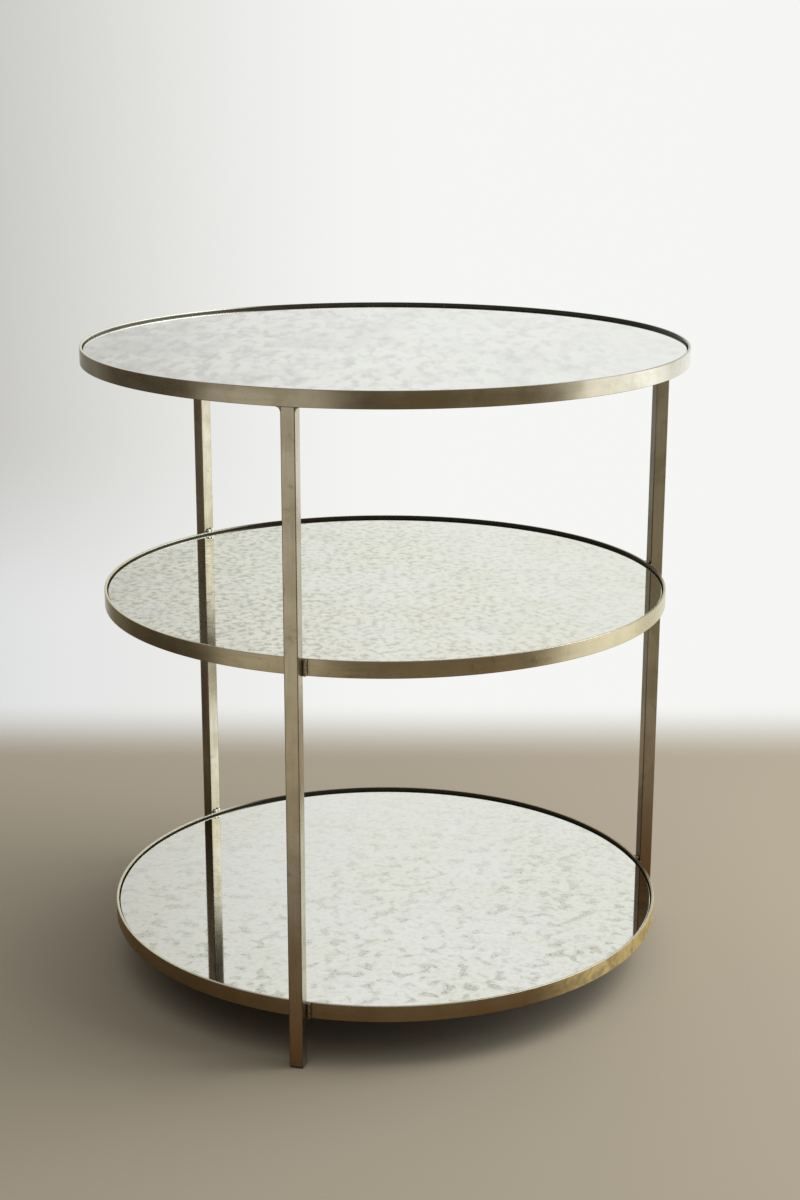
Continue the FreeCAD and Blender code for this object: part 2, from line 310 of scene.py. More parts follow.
@dataclass(frozen=True)
class AgedBrass(Finish):
    """Satin brass under a brown and olive patina, with painted shade on its edges, in its recesses and low
    down, and painted highlights on some top edges and towards the right.

    Fields that end in "range" are the values of a pattern or a place between which a layer fades in.
    """

    grain: Grain
    brass: Colour = (0.47, 0.42, 0.315)
    olive: Colour = (0.36, 0.31, 0.21)
    umber: Colour = (0.20, 0.135, 0.075)
    low_shade: Colour = (0.14, 0.065, 0.022)
    edge: Colour = (0.13, 0.105, 0.070)
    recess_shade: Colour = (0.055, 0.050, 0.038)
    painted_highlight: Colour = (0.86, 0.83, 0.70)
    lip_top: float = 9.0
    lip_highlight_ends: float = 1.6 * MILLIMETRE
    lip_highlight_full: float = 1.0 * MILLIMETRE
    highlight_from: float = -0.16
    highlight_fade: float = 0.08
    highlight_front: float = 0.0
    highlight_front_range: Span = (0.10, -0.05)
    highlight_metal: float = 1.0
    blotched: float = 0.45
    grazing: Colour = (1.0, 0.96, 0.86)
    smoothest: float = 0.20
    roughest: float = 0.30
    clouds_per_metre: float = 22.0
    blots_per_metre: float = 75.0
    streaks_per_metre: float = 210.0
    dimples_per_metre: float = 90.0
    brush_marks_per_metre: float = 1400.0
    gloss_patches_per_metre: float = 90.0
    gloss_range: Span = (0.3, 0.7)
    recess_roughness: float = 0.2
    cloud_range: Span = (0.36, 0.66)
    streak_range: Span = (0.50, 0.80)
    streak_share: float = 0.30
    blot_range: Span = (0.58, 0.74)
    relief: float = 0.035
    relief_height: float = 0.6 * MILLIMETRE
    brush_share: float = 0.2
    lacquer: float = 0.4
    lacquer_roughness: float = 0.15
    low_shade_height: float = 0.24
    low_shade_full_height: float = 0.02
    low_shade_share: float = 0.45
    low_shade_until: float = 1.0
    low_shade_edge: float = 0.4 * MILLIMETRE
    right_highlight: Colour = (0.86, 0.70, 0.36)
    right_highlight_share: float = 0.0
    right_highlight_from: float = 0.16
    right_highlight_fade: float = 0.09
    right_highlight_spot_range: Span = (0.42, 0.62)
    right_highlight_between_spots: float = 0.55
    edge_share: float = 0.8

    def paint(self, s: Surface) -> None:
        """Add the finish's own nodes to its material."""
        along = s.scaled(s.place, self.grain.value)
        clouds = s.noise(s.place, self.clouds_per_metre, 3.0, 0.55, 0.3)
        blots = s.noise(s.place, self.blots_per_metre, 3.0, 0.6, 0.5)
        streaks = s.noise(along, self.streaks_per_metre, 3.0, 0.6)
        colour = s.blend(s.ease(clouds, *self.cloud_range), self.brass, self.olive)
        streaked = s.times(s.ease(streaks, *self.streak_range), self.streak_share)
        colour = s.blend(streaked, colour, self.umber)
        colour = s.blend(s.times(s.ease(blots, *self.blot_range), self.blotched), colour, self.umber)
        axes = s.axes(s.place)
        # Painted shade: darker towards the floor, standing in for the floor's shadow that the metal
        # reflects, and on a leg only left of a set x, the side turned from the lamp.
        low_down = s.ease(axes[2], self.low_shade_height, self.low_shade_full_height)
        shaded_side = s.ease(axes[0], self.low_shade_until + self.low_shade_edge, self.low_shade_until - self.low_shade_edge)
        colour = s.blend(s.times(low_down, self.low_shade_share, shaded_side), colour, self.low_shade)
        # Painted highlight: towards the right, the side facing the lamp, the brass turns lighter in spots.
        lit_right = s.ease(axes[0], self.right_highlight_from, self.right_highlight_from + self.right_highlight_fade)
        spotty = s.spread(blots, *self.right_highlight_spot_range, 1.0, self.right_highlight_between_spots)
        colour = s.blend(s.times(lit_right, self.right_highlight_share, spotty), colour, self.right_highlight)
        # Painted shade: rounded corners, and the top edge below, are darkened to stand in for the dark
        # lines that shade and reflection draw along them.
        colour = s.blend(s.times(self.share(s, "edge"), self.edge_share), colour, self.edge)
        # Painted highlight: the top edges on the left, towards the front where asked, and the top of the
        # inner face turn pale, standing in for the bright wall and window that they reflect.
        left = s.ease(axes[0], self.highlight_from, self.highlight_from - self.highlight_fade)
        front = s.times(s.ease(axes[1], *self.highlight_front_range), self.highlight_front)
        highlighted = s.math("MAXIMUM", left, front)
        lip = s.ease(axes[2], self.lip_top - self.lip_highlight_ends, self.lip_top - self.lip_highlight_full)
        top, recess = self.share(s, "painted_highlight"), self.share(s, "recess")
        colour = s.blend(s.times(top, self.edge_share), colour, self.edge)
        # Painted shade: the hoop's inner face and its corners are darkened to near black, standing in for
        # the shade inside the rim.
        colour = s.blend(recess, colour, self.recess_shade)
        painted_highlight = s.times(s.math("MAXIMUM", top, s.times(recess, lip)), highlighted)
        colour = s.blend(painted_highlight, colour, self.painted_highlight)
        gloss = s.noise(along, self.gloss_patches_per_metre, 3.0, 0.6)
        rough = s.spread(gloss, *self.gloss_range, self.smoothest, self.roughest)
        rough = s.math("ADD", rough, s.times(recess, self.recess_roughness))
        metal = 1.0 if self.highlight_metal == 1.0 else s.spread(painted_highlight, 0.0, 1.0, 1.0, self.highlight_metal)
        s.feed(Base_Color=colour, Roughness=rough, Metallic=metal, Specular_Tint=self.grazing)
        s.feed(Coat_Weight=self.lacquer, Coat_Roughness=self.lacquer_roughness)
        brush = s.noise(along, self.brush_marks_per_metre, 2.0, 0.6)
        dimples = s.noise(s.place, self.dimples_per_metre, 2.0, 0.5)
        bumps = s.math("ADD", s.times(brush, self.brush_share), dimples)
        s.raise_by(bumps, self.relief, self.relief_height)

    def share(self, s: Surface, attribute: str) -> Socket:
        """Return how much of a named kind of surface a place on the mesh is."""
        return s.add("ShaderNodeAttribute", attribute_name=attribute).outputs["Fac"]


@dataclass(frozen=True)
class AntiquedMirror(Finish):
    """Silvered glass whose silvering has gone in clouds, fine flecks and soft broken blots.

    The wear grows by the "heavier" shares towards the right and the front, as far as reach. Fields
    that end in "range" are the values of a pattern between which a layer fades in.
    """

    seed: float
    silver: Colour
    cream: Colour
    smoke: Colour
    heart: Colour
    fleck_size: float
    fleck_deep: float
    fleck_share: float
    cloud_share: float
    blot_size: float = 0.020
    blot_share: float = 0.0
    heavier_right: float = 0.0
    heavier_front: float = 0.0
    reach: float = 0.33
    drifts_per_metre: float = 9.0
    seed_slant: float = 0.37
    clouds_per_fleck: float = 0.3
    hearts_per_blot: float = 5.0
    patch_range: Span = (0.35, 0.65)
    patch_weights: Span = (0.75, 1.2)
    cream_range: Span = (0.32, 0.58)
    cloud_range: Span = (0.42, 0.66)
    fleck_range: Span = (0.44, 0.64)
    fleck_heart_range: Span = (0.60, 0.74)
    fleck_heart_share: float = 0.7
    haze_range: Span = (0.50, 0.68)
    haze_share: float = 0.55
    heart_range: Span = (0.50, 0.68)
    core_range: Span = (0.54, 0.68)
    most_cover: float = 0.92
    clear_roughness: float = 0.03
    spent_roughness: float = 0.08
    glass_shine: float = 0.35
    glass_roughness: float = 0.02

    def paint(self, s: Surface) -> None:
        """Add the finish's own nodes to its material."""
        at = s.moved(s.place, (self.seed, self.seed * self.seed_slant, 0.0))
        drift = s.noise(at, self.drifts_per_metre, 3.0, 0.55)
        drawn = s.scaled(at, (1.0, 1.0 / self.fleck_deep, 1.0))
        flecks = s.noise(drawn, 1.0 / self.fleck_size, 3.0, 0.55)
        clouds = s.noise(drawn, self.clouds_per_fleck / self.fleck_size, 3.0, 0.6, 0.3)
        patchy = s.spread(drift, *self.patch_range, *self.patch_weights)
        weight = s.times(self.weight(s, 0, self.heavier_right), patchy)
        haze, hearts = self.blots(s, at)
        front = s.math("MAXIMUM", self.weight(s, 1, -self.heavier_front), 0.0)
        layers = (
            (s.ease(clouds, *self.cloud_range), self.cloud_share, self.smoke),
            (s.ease(flecks, *self.fleck_range), self.fleck_share, self.smoke),
            (
                s.ease(flecks, *self.fleck_heart_range), self.fleck_share * self.fleck_heart_share,
                self.heart,
            ),
            (s.times(haze, front), self.blot_share * self.haze_share, self.smoke),
            (s.times(hearts, front), self.blot_share, self.heart),
        )
        creamy = s.math("MULTIPLY", s.ease(drift, *self.cream_range), weight, use_clamp=True)
        colour = s.blend(creamy, self.silver, self.cream)
        spent = None
        for pattern, share, tint in layers:
            cover = s.math("MINIMUM", s.times(pattern, share, weight), self.most_cover)
            colour = s.blend(cover, colour, tint)
            spent = cover if spent is None else s.math("MAXIMUM", spent, cover)
        rough = s.spread(spent, 0.0, 1.0, self.clear_roughness, self.spent_roughness)
        s.feed(Base_Color=colour, Roughness=rough, Metallic=1.0)
        s.feed(Coat_Weight=self.glass_shine, Coat_Roughness=self.glass_roughness)

    def weight(self, s: Surface, axis: int, excess: float) -> Socket:
        """Return how heavy the wear is: 1 in the middle and more by excess towards + on an axis."""
        return s.spread(s.axes(s.place)[axis], -self.reach, self.reach, 1.0 - excess, 1.0 + excess)

    def blots(self, s: Surface, at: Socket) -> tuple[Socket, Socket]:
        """Scatter ragged blots.

        Args:
            s: The material they are for.
            at: Coordinates on the glass.

        Returns:
            The blots' soft haze, and the small dark hearts within them.
        """
        clumps = s.noise(at, 1.0 / self.blot_size, 1.0, 0.5, 0.4)
        hearts = s.noise(at, self.hearts_per_blot / self.blot_size, 2.0, 0.6)
        haze = s.ease(clumps, *self.haze_range)
        return haze, s.times(s.ease(hearts, *self.heart_range), s.ease(clumps, *self.core_range))


@dataclass(frozen=True)
class SealedBoard(Finish):
    """Black sealed fibreboard with a faint fibre texture."""

    name: str = "black_board"
    face: Colour = (0.022, 0.020, 0.018)
    fibre: Colour = (0.045, 0.040, 0.034)
    fibres_per_metre: float = 700.0
    fibre_range: Span = (0.45, 0.75)
    roughness: float = 0.62
    relief: float = 0.25
    relief_height: float = 0.2 * MILLIMETRE

    def paint(self, s: Surface) -> None:
        """Add the finish's own nodes to its material."""
        fibres = s.noise(s.scaled(s.place, (1.0, 0.25, 1.0)), self.fibres_per_metre, 4.0, 0.7)
        colour = s.blend(s.ease(fibres, *self.fibre_range), self.face, self.fibre)
        s.feed(Base_Color=colour, Roughness=self.roughness)
        s.raise_by(fibres, self.relief, self.relief_height)


@dataclass(frozen=True)
class ZincPlate(Finish):
    """Dull zinc plating on small steel hardware."""

    name: str = "zinc_steel"
    bright: Colour = (0.56, 0.56, 0.54)
    dull: Colour = (0.36, 0.36, 0.34)
    blooms_per_metre: float = 900.0
    bloom_range: Span = (0.35, 0.7)
    gloss_range: Span = (0.3, 0.7)
    roughness: Span = (0.3, 0.5)

    def paint(self, s: Surface) -> None:
        """Add the finish's own nodes to its material."""
        bloom = s.noise(s.place, self.blooms_per_metre, 3.0, 0.6)
        colour = s.blend(s.ease(bloom, *self.bloom_range), self.bright, self.dull)
        rough = s.spread(bloom, *self.gloss_range, *self.roughness)
        s.feed(Base_Color=colour, Roughness=rough, Metallic=1.0)


@dataclass(frozen=True)
class MouldedNylon(Finish):
    """Dark moulded plastic with a fine matt grain."""

    name: str = "glide_nylon"
    body: Colour = (0.022, 0.018, 0.015)
    scuff: Colour = (0.06, 0.052, 0.045)
    grains_per_metre: float = 1200.0
    scuffs_per_metre: float = 220.0
    scuff_range: Span = (0.55, 0.75)
    gloss_range: Span = (0.3, 0.7)
    roughness: Span = (0.42, 0.6)
    relief: float = 0.2
    relief_height: float = 0.15 * MILLIMETRE

    def paint(self, s: Surface) -> None:
        """Add the finish's own nodes to its material."""
        grain = s.noise(s.place, self.grains_per_metre, 2.0, 0.5)
        scuffs = s.ease(s.noise(s.place, self.scuffs_per_metre, 3.0, 0.6), *self.scuff_range)
        rough = s.spread(grain, *self.gloss_range, *self.roughness)
        s.feed(Base_Color=s.blend(scuffs, self.body, self.scuff), Roughness=rough)
        s.raise_by(grain, self.relief, self.relief_height)


# ---------------------------------------------------------------- mesh building


def finish_piece(mesh: Mesh, name: str, material: Material, slot: str, *nodes: str) -> Piece:
    """Turn a mesh into a piece of the table that stands for nodes of the frame.

    Args:
        mesh: The finished mesh, in the frame's own place.
        name: The piece's name.
        material: Its finish.
        slot: Not used; it names the record's material slot that the finish belongs to.
        *nodes: The nodes that the piece replaces.

    Returns:
        The piece's object.
    """
    mesh.name = name
    mesh.materials.clear()
    mesh.materials.append(material)
    piece = bpy.data.objects.new(name, mesh)
    bpy.context.scene.collection.objects.link(piece)
    even = piece.modifiers.new("even_normals", "WEIGHTED_NORMAL")
    even.weight = LARGE_FACES_LEAD
    bpy.context.view_layer.update()
    shown = piece.evaluated_get(bpy.context.evaluated_depsgraph_get())
    piece.data = bpy.data.meshes.new_from_object(shown)
    piece.modifiers.remove(even)
    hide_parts(*nodes)
    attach(piece, BODY)
    log.info("%s: %d faces", name, len(piece.data.polygons))
    return piece


class Loft:
    """A closed skin stretched over rings of points, which say how much of an edge each point is."""

    def __init__(self) -> None:
        """Start with no rings."""
        self.mesh = bmesh.new()
        self.edge = self.mesh.verts.layers.float.new("edge")

    def ring(self, points: Ring, edge: float | Sequence[float] = 0.0) -> Verts:
        """Add a ring of vertices.

        Args:
            points: The ring's points in order.
            edge: Edge share of the whole ring, or of each of its points.

        Returns:
            The ring's vertices.
        """
        verts = [self.mesh.verts.new(point) for point in points]
        shares = edge if isinstance(edge, Sequence) else [edge] * len(verts)
        for vert, share in zip(verts, shares):
            vert[self.edge] = share
        return verts

    def bridge(self, rings: Sequence[Verts], closed: bool = False) -> None:
        """Join each ring to the next with faces, and the last to the first if closed."""
        pairs = list(zip(rings, rings[1:]))
        if closed:
            pairs.append((rings[-1], rings[0]))
        for low, high in pairs:
            count = len(low)
            for index in range(count):
                after = (index + 1) % count
                self.mesh.faces.new((low[index], low[after], high[after], high[index]))

    def cap(self, ring: Verts, upwards: bool) -> None:
        """Close a ring with one flat face."""
        self.mesh.faces.new(ring if upwards else ring[::-1])

    def cap_fan(self, ring: Verts, centre: Vector, upwards: bool) -> None:
        """Close a ring with triangles that meet at a centre."""
        middle = self.mesh.verts.new(centre)
        for index, vert in enumerate(ring):
            after = ring[(index + 1) % len(ring)]
            self.mesh.faces.new((vert, after, middle) if upwards else (after, vert, middle))

    def squares(self, course: Course, steps: int, place: Matrix) -> list[Verts]:
        """Add level squares with rounded corners.

        Args:
            course: Half the side, the corners' radius and the height of each square.
            steps: Straight stretches in each corner.
            place: The transform from the origin to where the squares belong.

        Returns:
            The squares' rings of vertices.
        """
        rings = []
        for half, rounding, height in course:
            points, edge = rounded_square(half, rounding, height, steps)
            rings.append(self.ring([place @ point for point in points], edge))
        return rings

    def to_mesh(self, name: str) -> Mesh:
        """Return the skin as a smooth-shaded mesh whose faces point outwards."""
        bmesh.ops.recalc_face_normals(self.mesh, faces=self.mesh.faces)
        mesh = bpy.data.meshes.new(name)
        self.mesh.to_mesh(mesh)
        self.mesh.free()
        mesh.shade_smooth()
        return mesh


def circle(radius: float, height: float, count: int) -> Ring:
    """Return points of a level circle about the table's axis."""
    turns = [math.tau * index / count for index in range(count)]
    return [Vector((radius * math.cos(turn), radius * math.sin(turn), height)) for turn in turns]


def rounded_square(half: float, rounding: float, height: float, steps: int) -> tuple[Ring, list[float]]:
    """Draw a square with rounded corners.

    Args:
        half: Half its side.
        rounding: Radius of its corners.
        height: Its height above the floor.
        steps: Straight stretches in each corner.

    Returns:
        Its points about the origin, and for each the edge share: 1 in the middle of a corner.
    """
    points, edge = [], []
    for quarter in range(4):
        centre_turn = math.radians(45 + 90 * quarter)
        reach = (half - rounding) * math.sqrt(2)
        centre = Vector((reach * math.cos(centre_turn), reach * math.sin(centre_turn), height))
        for step in range(steps + 1):
            turn = math.radians(90 * quarter + 90 * step / steps)
            points.append(centre + Vector((math.cos(turn), math.sin(turn), 0)) * rounding)
            edge.append(1.0 if 0 < step < steps else 0.0)
    return points, edge


# ---------------------------------------------------------------- geometry nodes


class Grower(Graph):
    """A Geometry Nodes tree under construction, and its use to grow a mesh."""

    def __init__(self, name: str, sizes: dict[str, object]) -> None:
        """Start a tree with an input for each named size.

        Args:
            name: The tree's name.
            sizes: The value of each input, by name: a number, a whole number or a vector.
        """
        tree = bpy.data.node_groups.new(name, "GeometryNodeTree")
        super().__init__(tree)
        tree.interface.new_socket("Mesh", in_out="OUTPUT", socket_type="NodeSocketGeometry")
        kinds = {int: "NodeSocketInt", float: "NodeSocketFloat", Vector: "NodeSocketVector"}
        self.sizes = sizes
        for label, value in sizes.items():
            tree.interface.new_socket(label, in_out="INPUT", socket_type=kinds[type(value)])
        self.entry = self.add("NodeGroupInput")

    def size(self, name: str) -> Socket:
        """Return the socket of a named input."""
        return self.entry.outputs[name]

    def part(self, kind: str, **inputs: object) -> Socket:
        """Return what a geometry node makes of its inputs, with _ for each space in their names."""
        named = {name.replace("_", " "): value for name, value in inputs.items()}
        return self.add(f"GeometryNode{kind}", named).outputs[0]

    def offset(self, x: object, y: object, z: object) -> Socket:
        """Return a vector made of three numbers or sockets."""
        return self.add("ShaderNodeCombineXYZ", {0: x, 1: y, 2: z}).outputs[0]

    def shift(self, geometry: Socket, x: object, y: object, z: object) -> Socket:
        """Return geometry moved by three distances."""
        return self.part("Transform", Geometry=geometry, Translation=self.offset(x, y, z))

    def turned(self, geometry: Socket, turn: Socket) -> Socket:
        """Return geometry turned about the table's axis."""
        return self.part("Transform", Geometry=geometry, Rotation=self.offset(0.0, 0.0, turn))

    def mark(self, geometry: Socket, name: str, share: Socket) -> Socket:
        """Return geometry whose points hold a share under a name, for the finish to read."""
        inputs = {"Geometry": geometry, "Name": name, "Value": share}
        kind = "GeometryNodeStoreNamedAttribute"
        return self.add(kind, inputs, data_type="FLOAT", domain="POINT").outputs[0]

    def place(self) -> Socket:
        """Return each point's place."""
        return self.part("InputPosition")

    def join(self, *parts: Socket) -> Socket:
        """Return several geometries as one."""
        joint = self.add("GeometryNodeJoinGeometry")
        for part in parts:
            self.tree.links.new(part, joint.inputs[0])
        return joint.outputs[0]

    def end(self, geometry: Socket, material: Material) -> None:
        """Finish the tree: real geometry, smooth, with its material."""
        real = self.part("RealizeInstances", Geometry=geometry)
        smooth = self.part("SetShadeSmooth", Geometry=real)
        dressed = self.part("SetMaterial", Geometry=smooth, Material=material)
        self.add("NodeGroupOutput", {0: dressed})

    def grow(self, changes: dict[str, object] | None = None) -> Mesh:
        """Run the tree once.

        Args:
            changes: Inputs that differ from the tree's own sizes.

        Returns:
            A plain mesh of the result.
        """
        carrier = bpy.data.objects.new("carrier", bpy.data.meshes.new("carrier"))
        bpy.context.scene.collection.objects.link(carrier)
        modifier = carrier.modifiers.new(self.tree.name, "NODES")
        modifier.node_group = self.tree
        chosen = {**self.sizes, **(changes or {})}
        for item in self.tree.interface.items_tree:
            if item.in_out == "INPUT":
                modifier[item.identifier] = chosen[item.name]
        bpy.context.view_layer.update()
        grown = carrier.evaluated_get(bpy.context.evaluated_depsgraph_get())
        mesh = bpy.data.meshes.new_from_object(grown)
        bpy.data.objects.remove(carrier)
        return mesh


# ---------------------------------------------------------------- the table's pieces


@dataclass
class Rim:
    """A hoop of flat bar rolled on edge, with its corners eased."""

    tier: Tier
    finish: Material
    edge_round: float = 0.6 * MILLIMETRE
    recess_round_share: float = 0.75
    edge_round_share: float = 0.95
    top_edge_deep: float = 0.2 * MILLIMETRE
    round_steps: int = 4
    segments: int = 540

    def build(self) -> Piece:
        """Sweep the bar's section round the table."""
        node = f"{self.tier.value}_rim"
        inner, outer = radial_span(node)
        low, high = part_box(node)
        sizes = {
            "Bar middle radius": (inner + outer) / 2,
            "Bar thickness": outer - inner,
            "Bar depth": high.z - low.z,
            "Bar middle height": (low.z + high.z) / 2,
            "Edge round": self.edge_round,
            "Round steps": self.round_steps,
            "Segments": self.segments,
        }
        g = Grower(f"{node}_hoop", sizes)
        middle, width, height = g.size("Bar middle radius"), g.size("Bar thickness"), g.size("Bar depth")
        line = g.part("CurvePrimitiveCircle", Resolution=g.size("Segments"), Radius=middle)
        bar = g.part("CurvePrimitiveQuadrilateral", Width=width, Height=height)
        rounding = {"Curve": bar, "Count": g.size("Round steps"), "Radius": g.size("Edge round")}
        eased = g.add("GeometryNodeFilletCurve", rounding, mode="POLY").outputs[0]
        hoop = g.part("CurveToMesh", Curve=line, Profile_Curve=eased)
        shares = {"edge": self.corner_share(g), "recess": self.inner_share(g), "painted_highlight": self.top_share(g)}
        for name, share in shares.items():
            hoop = g.mark(hoop, name, share)
        g.end(g.shift(hoop, 0.0, 0.0, g.size("Bar middle height")), self.finish)
        return finish_piece(g.grow(), f"{node}_hoop", self.finish, "patina_brass", node)

    def places(self, g: Grower) -> tuple[Socket, Socket]:
        """Return each point's place in the bar's section: outwards and upwards from its middle."""
        axes = g.axes(g.place())
        return g.math("SUBTRACT", g.from_axis(axes), g.size("Bar middle radius")), axes[2]

    def inner_share(self, g: Grower) -> Socket:
        """Return 1 on the bar's inner face and inner corners, and 0 elsewhere."""
        out, _ = self.places(g)
        corner = g.times(g.size("Edge round"), self.recess_round_share)
        limit = g.math("SUBTRACT", corner, g.times(g.size("Bar thickness"), 0.5))
        return g.math("LESS_THAN", out, limit)

    def top_share(self, g: Grower) -> Socket:
        """Return 1 on the bar's top edge and the upper part of its corners, and 0 elsewhere."""
        _, height = self.places(g)
        high = g.math("SUBTRACT", g.times(g.size("Bar depth"), 0.5), self.top_edge_deep)
        return g.math("GREATER_THAN", height, high)

    def corner_share(self, g: Grower) -> Socket:
        """Return 1 on the bar's outer rounded corners and 0 on its flats."""
        out, height = self.places(g)
        margin = g.times(g.size("Edge round"), self.edge_round_share)
        tests = []
        for reach, full in ((out, "Bar thickness"), (g.math("ABSOLUTE", height), "Bar depth")):
            limit = g.math("SUBTRACT", g.times(g.size(full), 0.5), margin)
            tests.append(g.math("GREATER_THAN", reach, limit))
        return g.times(*tests)


@dataclass
class MirrorPlate:
    """A round plate of silvered glass with a polished arris."""

    tier: Tier
    finish: Material
    arris: float = 1.0 * MILLIMETRE
    face_inset: float = 1.6 * MILLIMETRE
    under_ease: float = 0.3 * MILLIMETRE
    segments: int = 360

    def build(self) -> Piece:
        """Loft the plate from its underside to its face."""
        node = f"{self.tier.value}_mirror"
        _, outer = radial_span(node)
        low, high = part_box(node)
        loft = Loft()
        course = [
            (outer - self.under_ease, low.z),
            (outer, low.z + self.under_ease),
            (outer, high.z - self.arris),
            (outer - self.arris, high.z),
            (outer - self.face_inset, high.z),
        ]
        rings = [loft.ring(circle(radius, height, self.segments)) for radius, height in course]
        loft.bridge(rings)
        loft.cap_fan(rings[-1], Vector((0, 0, high.z)), upwards=True)
        loft.cap_fan(rings[0], Vector((0, 0, low.z)), upwards=False)
        return finish_piece(loft.to_mesh(node), f"{node}_plate", self.finish, "antiqued_mirror", node)


@dataclass
class Leg:
    """A leg of square tube, open at both ends."""

    stand: Stand
    finish: Material
    wall: float = 1.5 * MILLIMETRE
    corner_round: float = 1.2 * MILLIMETRE
    bore_round: float = 0.48 * MILLIMETRE
    corner_steps: int = 4
    end_ease: float = 0.25 * MILLIMETRE

    def build(self) -> Piece:
        """Loft the tube's outer and inner skins and join them at the ends."""
        node = f"{self.stand.value}_leg"
        low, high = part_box(node)
        square = Footprint.of(self.stand, "leg")
        bore = square.half - self.wall
        course = [
            (square.half - self.end_ease, self.corner_round, low.z),
            (square.half, self.corner_round, low.z + self.end_ease),
            (square.half, self.corner_round, high.z - self.end_ease),
            (square.half - self.end_ease, self.corner_round, high.z),
            (bore, self.bore_round, high.z),
            (bore, self.bore_round, low.z),
        ]
        loft = Loft()
        loft.bridge(loft.squares(course, self.corner_steps, square.place()), closed=True)
        return finish_piece(loft.to_mesh(node), f"{node}_tube", self.finish, "patina_brass", node)


@dataclass
class Glide:
    """The moulded foot of a leg, with its lower edge rounded, and its plug inside the tube."""

    stand: Stand
    finish: Material
    thickness: float = 2.5 * MILLIMETRE
    plug_inset: float = 1.6 * MILLIMETRE
    corner_round: float = 1.0 * MILLIMETRE
    corner_steps: int = 4
    foot_round: float = 0.8 * MILLIMETRE
    foot_steps: int = 4

    def build(self) -> Piece:
        """Loft the foot plate from the floor up and the plug above it."""
        node = f"{self.stand.value}_glide"
        low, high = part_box(node)
        square = Footprint.of(self.stand, "glide")
        place = Matrix.Translation((0, 0, low.z)) @ square.place()
        plug = Footprint.of(self.stand, "leg").half - self.plug_inset
        profile = []
        for step in range(self.foot_steps + 1):
            turn = math.pi / 2 * step / self.foot_steps
            reach = square.half - self.foot_round * (1 - math.sin(turn))
            profile.append((reach, self.foot_round * (1 - math.cos(turn))))
        profile += [(square.half, self.thickness), (plug, self.thickness), (plug, high.z - low.z)]
        loft = Loft()
        course = [(reach, self.corner_round, height) for reach, height in profile]
        rings = loft.squares(course, self.corner_steps, place)
        loft.bridge(rings)
        loft.cap(rings[0], upwards=False)
        loft.cap(rings[-1], upwards=True)
        return finish_piece(loft.to_mesh(node), f"{node}_foot", self.finish, "dark_plastic", node)


@dataclass
class GroundFillets:
    """The concave welds under the top rim, ground flush with the rim and the legs."""

    finish: Material
    face_proud: float = 0.03 * MILLIMETRE
    edge_ease: float = 0.35 * MILLIMETRE
    arc_steps: int = 14

    def build(self) -> Piece:
        """Draw the fillet on both sides of each leg, as thick as the rim's bar."""
        node = "top_leg_welds"
        low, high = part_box(node)
        inner, outer = radial_span("top_rim")
        reach = high.z - low.z
        loft = Loft()
        for stand in Stand:
            square = Footprint.of(stand, "leg")
            for side in (1, -1):
                self.add_fillet(loft, square, side, reach, high.z, inner, outer)
        return finish_piece(loft.to_mesh(node), "top_fillet_welds", self.finish, "weld_brass", node)

    def add_fillet(
        self, loft: Loft, square: Footprint, side: int, reach: float, top: float,
        inner: float, outer: float,
    ) -> None:
        """Add one fillet.

        Args:
            loft: The skin that it is added to.
            square: The leg that it is on.
            side: 1 or -1, the side of the leg that it is on.
            reach: How far it runs along the rim and down the leg.
            top: Height of the rim's underside.
            inner: Radius of its inner face.
            outer: Radius of its outer face.
        """
        turn = Matrix.Rotation(square.turn, 4, "Z")
        corner = [(square.half, top)]
        for step in range(self.arc_steps + 1):
            angle = math.pi / 2 * step / self.arc_steps
            aside, down = reach * (1 - math.sin(angle)), reach * (1 - math.cos(angle))
            corner.append((square.half + aside, top - down))
        centre_y = sum(y for y, _ in corner) / len(corner)
        centre_z = sum(z for _, z in corner) / len(corner)
        rings = []
        for shrink, radius in (
            (1.0, inner),
            (0.0, inner + self.edge_ease),
            (0.0, outer + self.face_proud - self.edge_ease),
            (1.0, outer + self.face_proud),
        ):
            points = []
            for y, z in corner:
                away = Vector((y - centre_y, z - centre_z))
                away = away - away.normalized() * self.edge_ease * shrink
                across = (centre_y + away.x) * side
                out = math.sqrt(radius**2 - across**2)
                points.append(turn @ Vector((out, across, centre_z + away.y)))
            # The fillet is marked as edge nearly all over, so it takes the painted edge shade.
            shares = [1.0 if side > 0 else 0.0] + [1.0] * (len(points) - 1)
            rings.append(loft.ring(points, shares))
        loft.bridge(rings)
        loft.cap(rings[0], upwards=False)
        loft.cap(rings[-1], upwards=True)


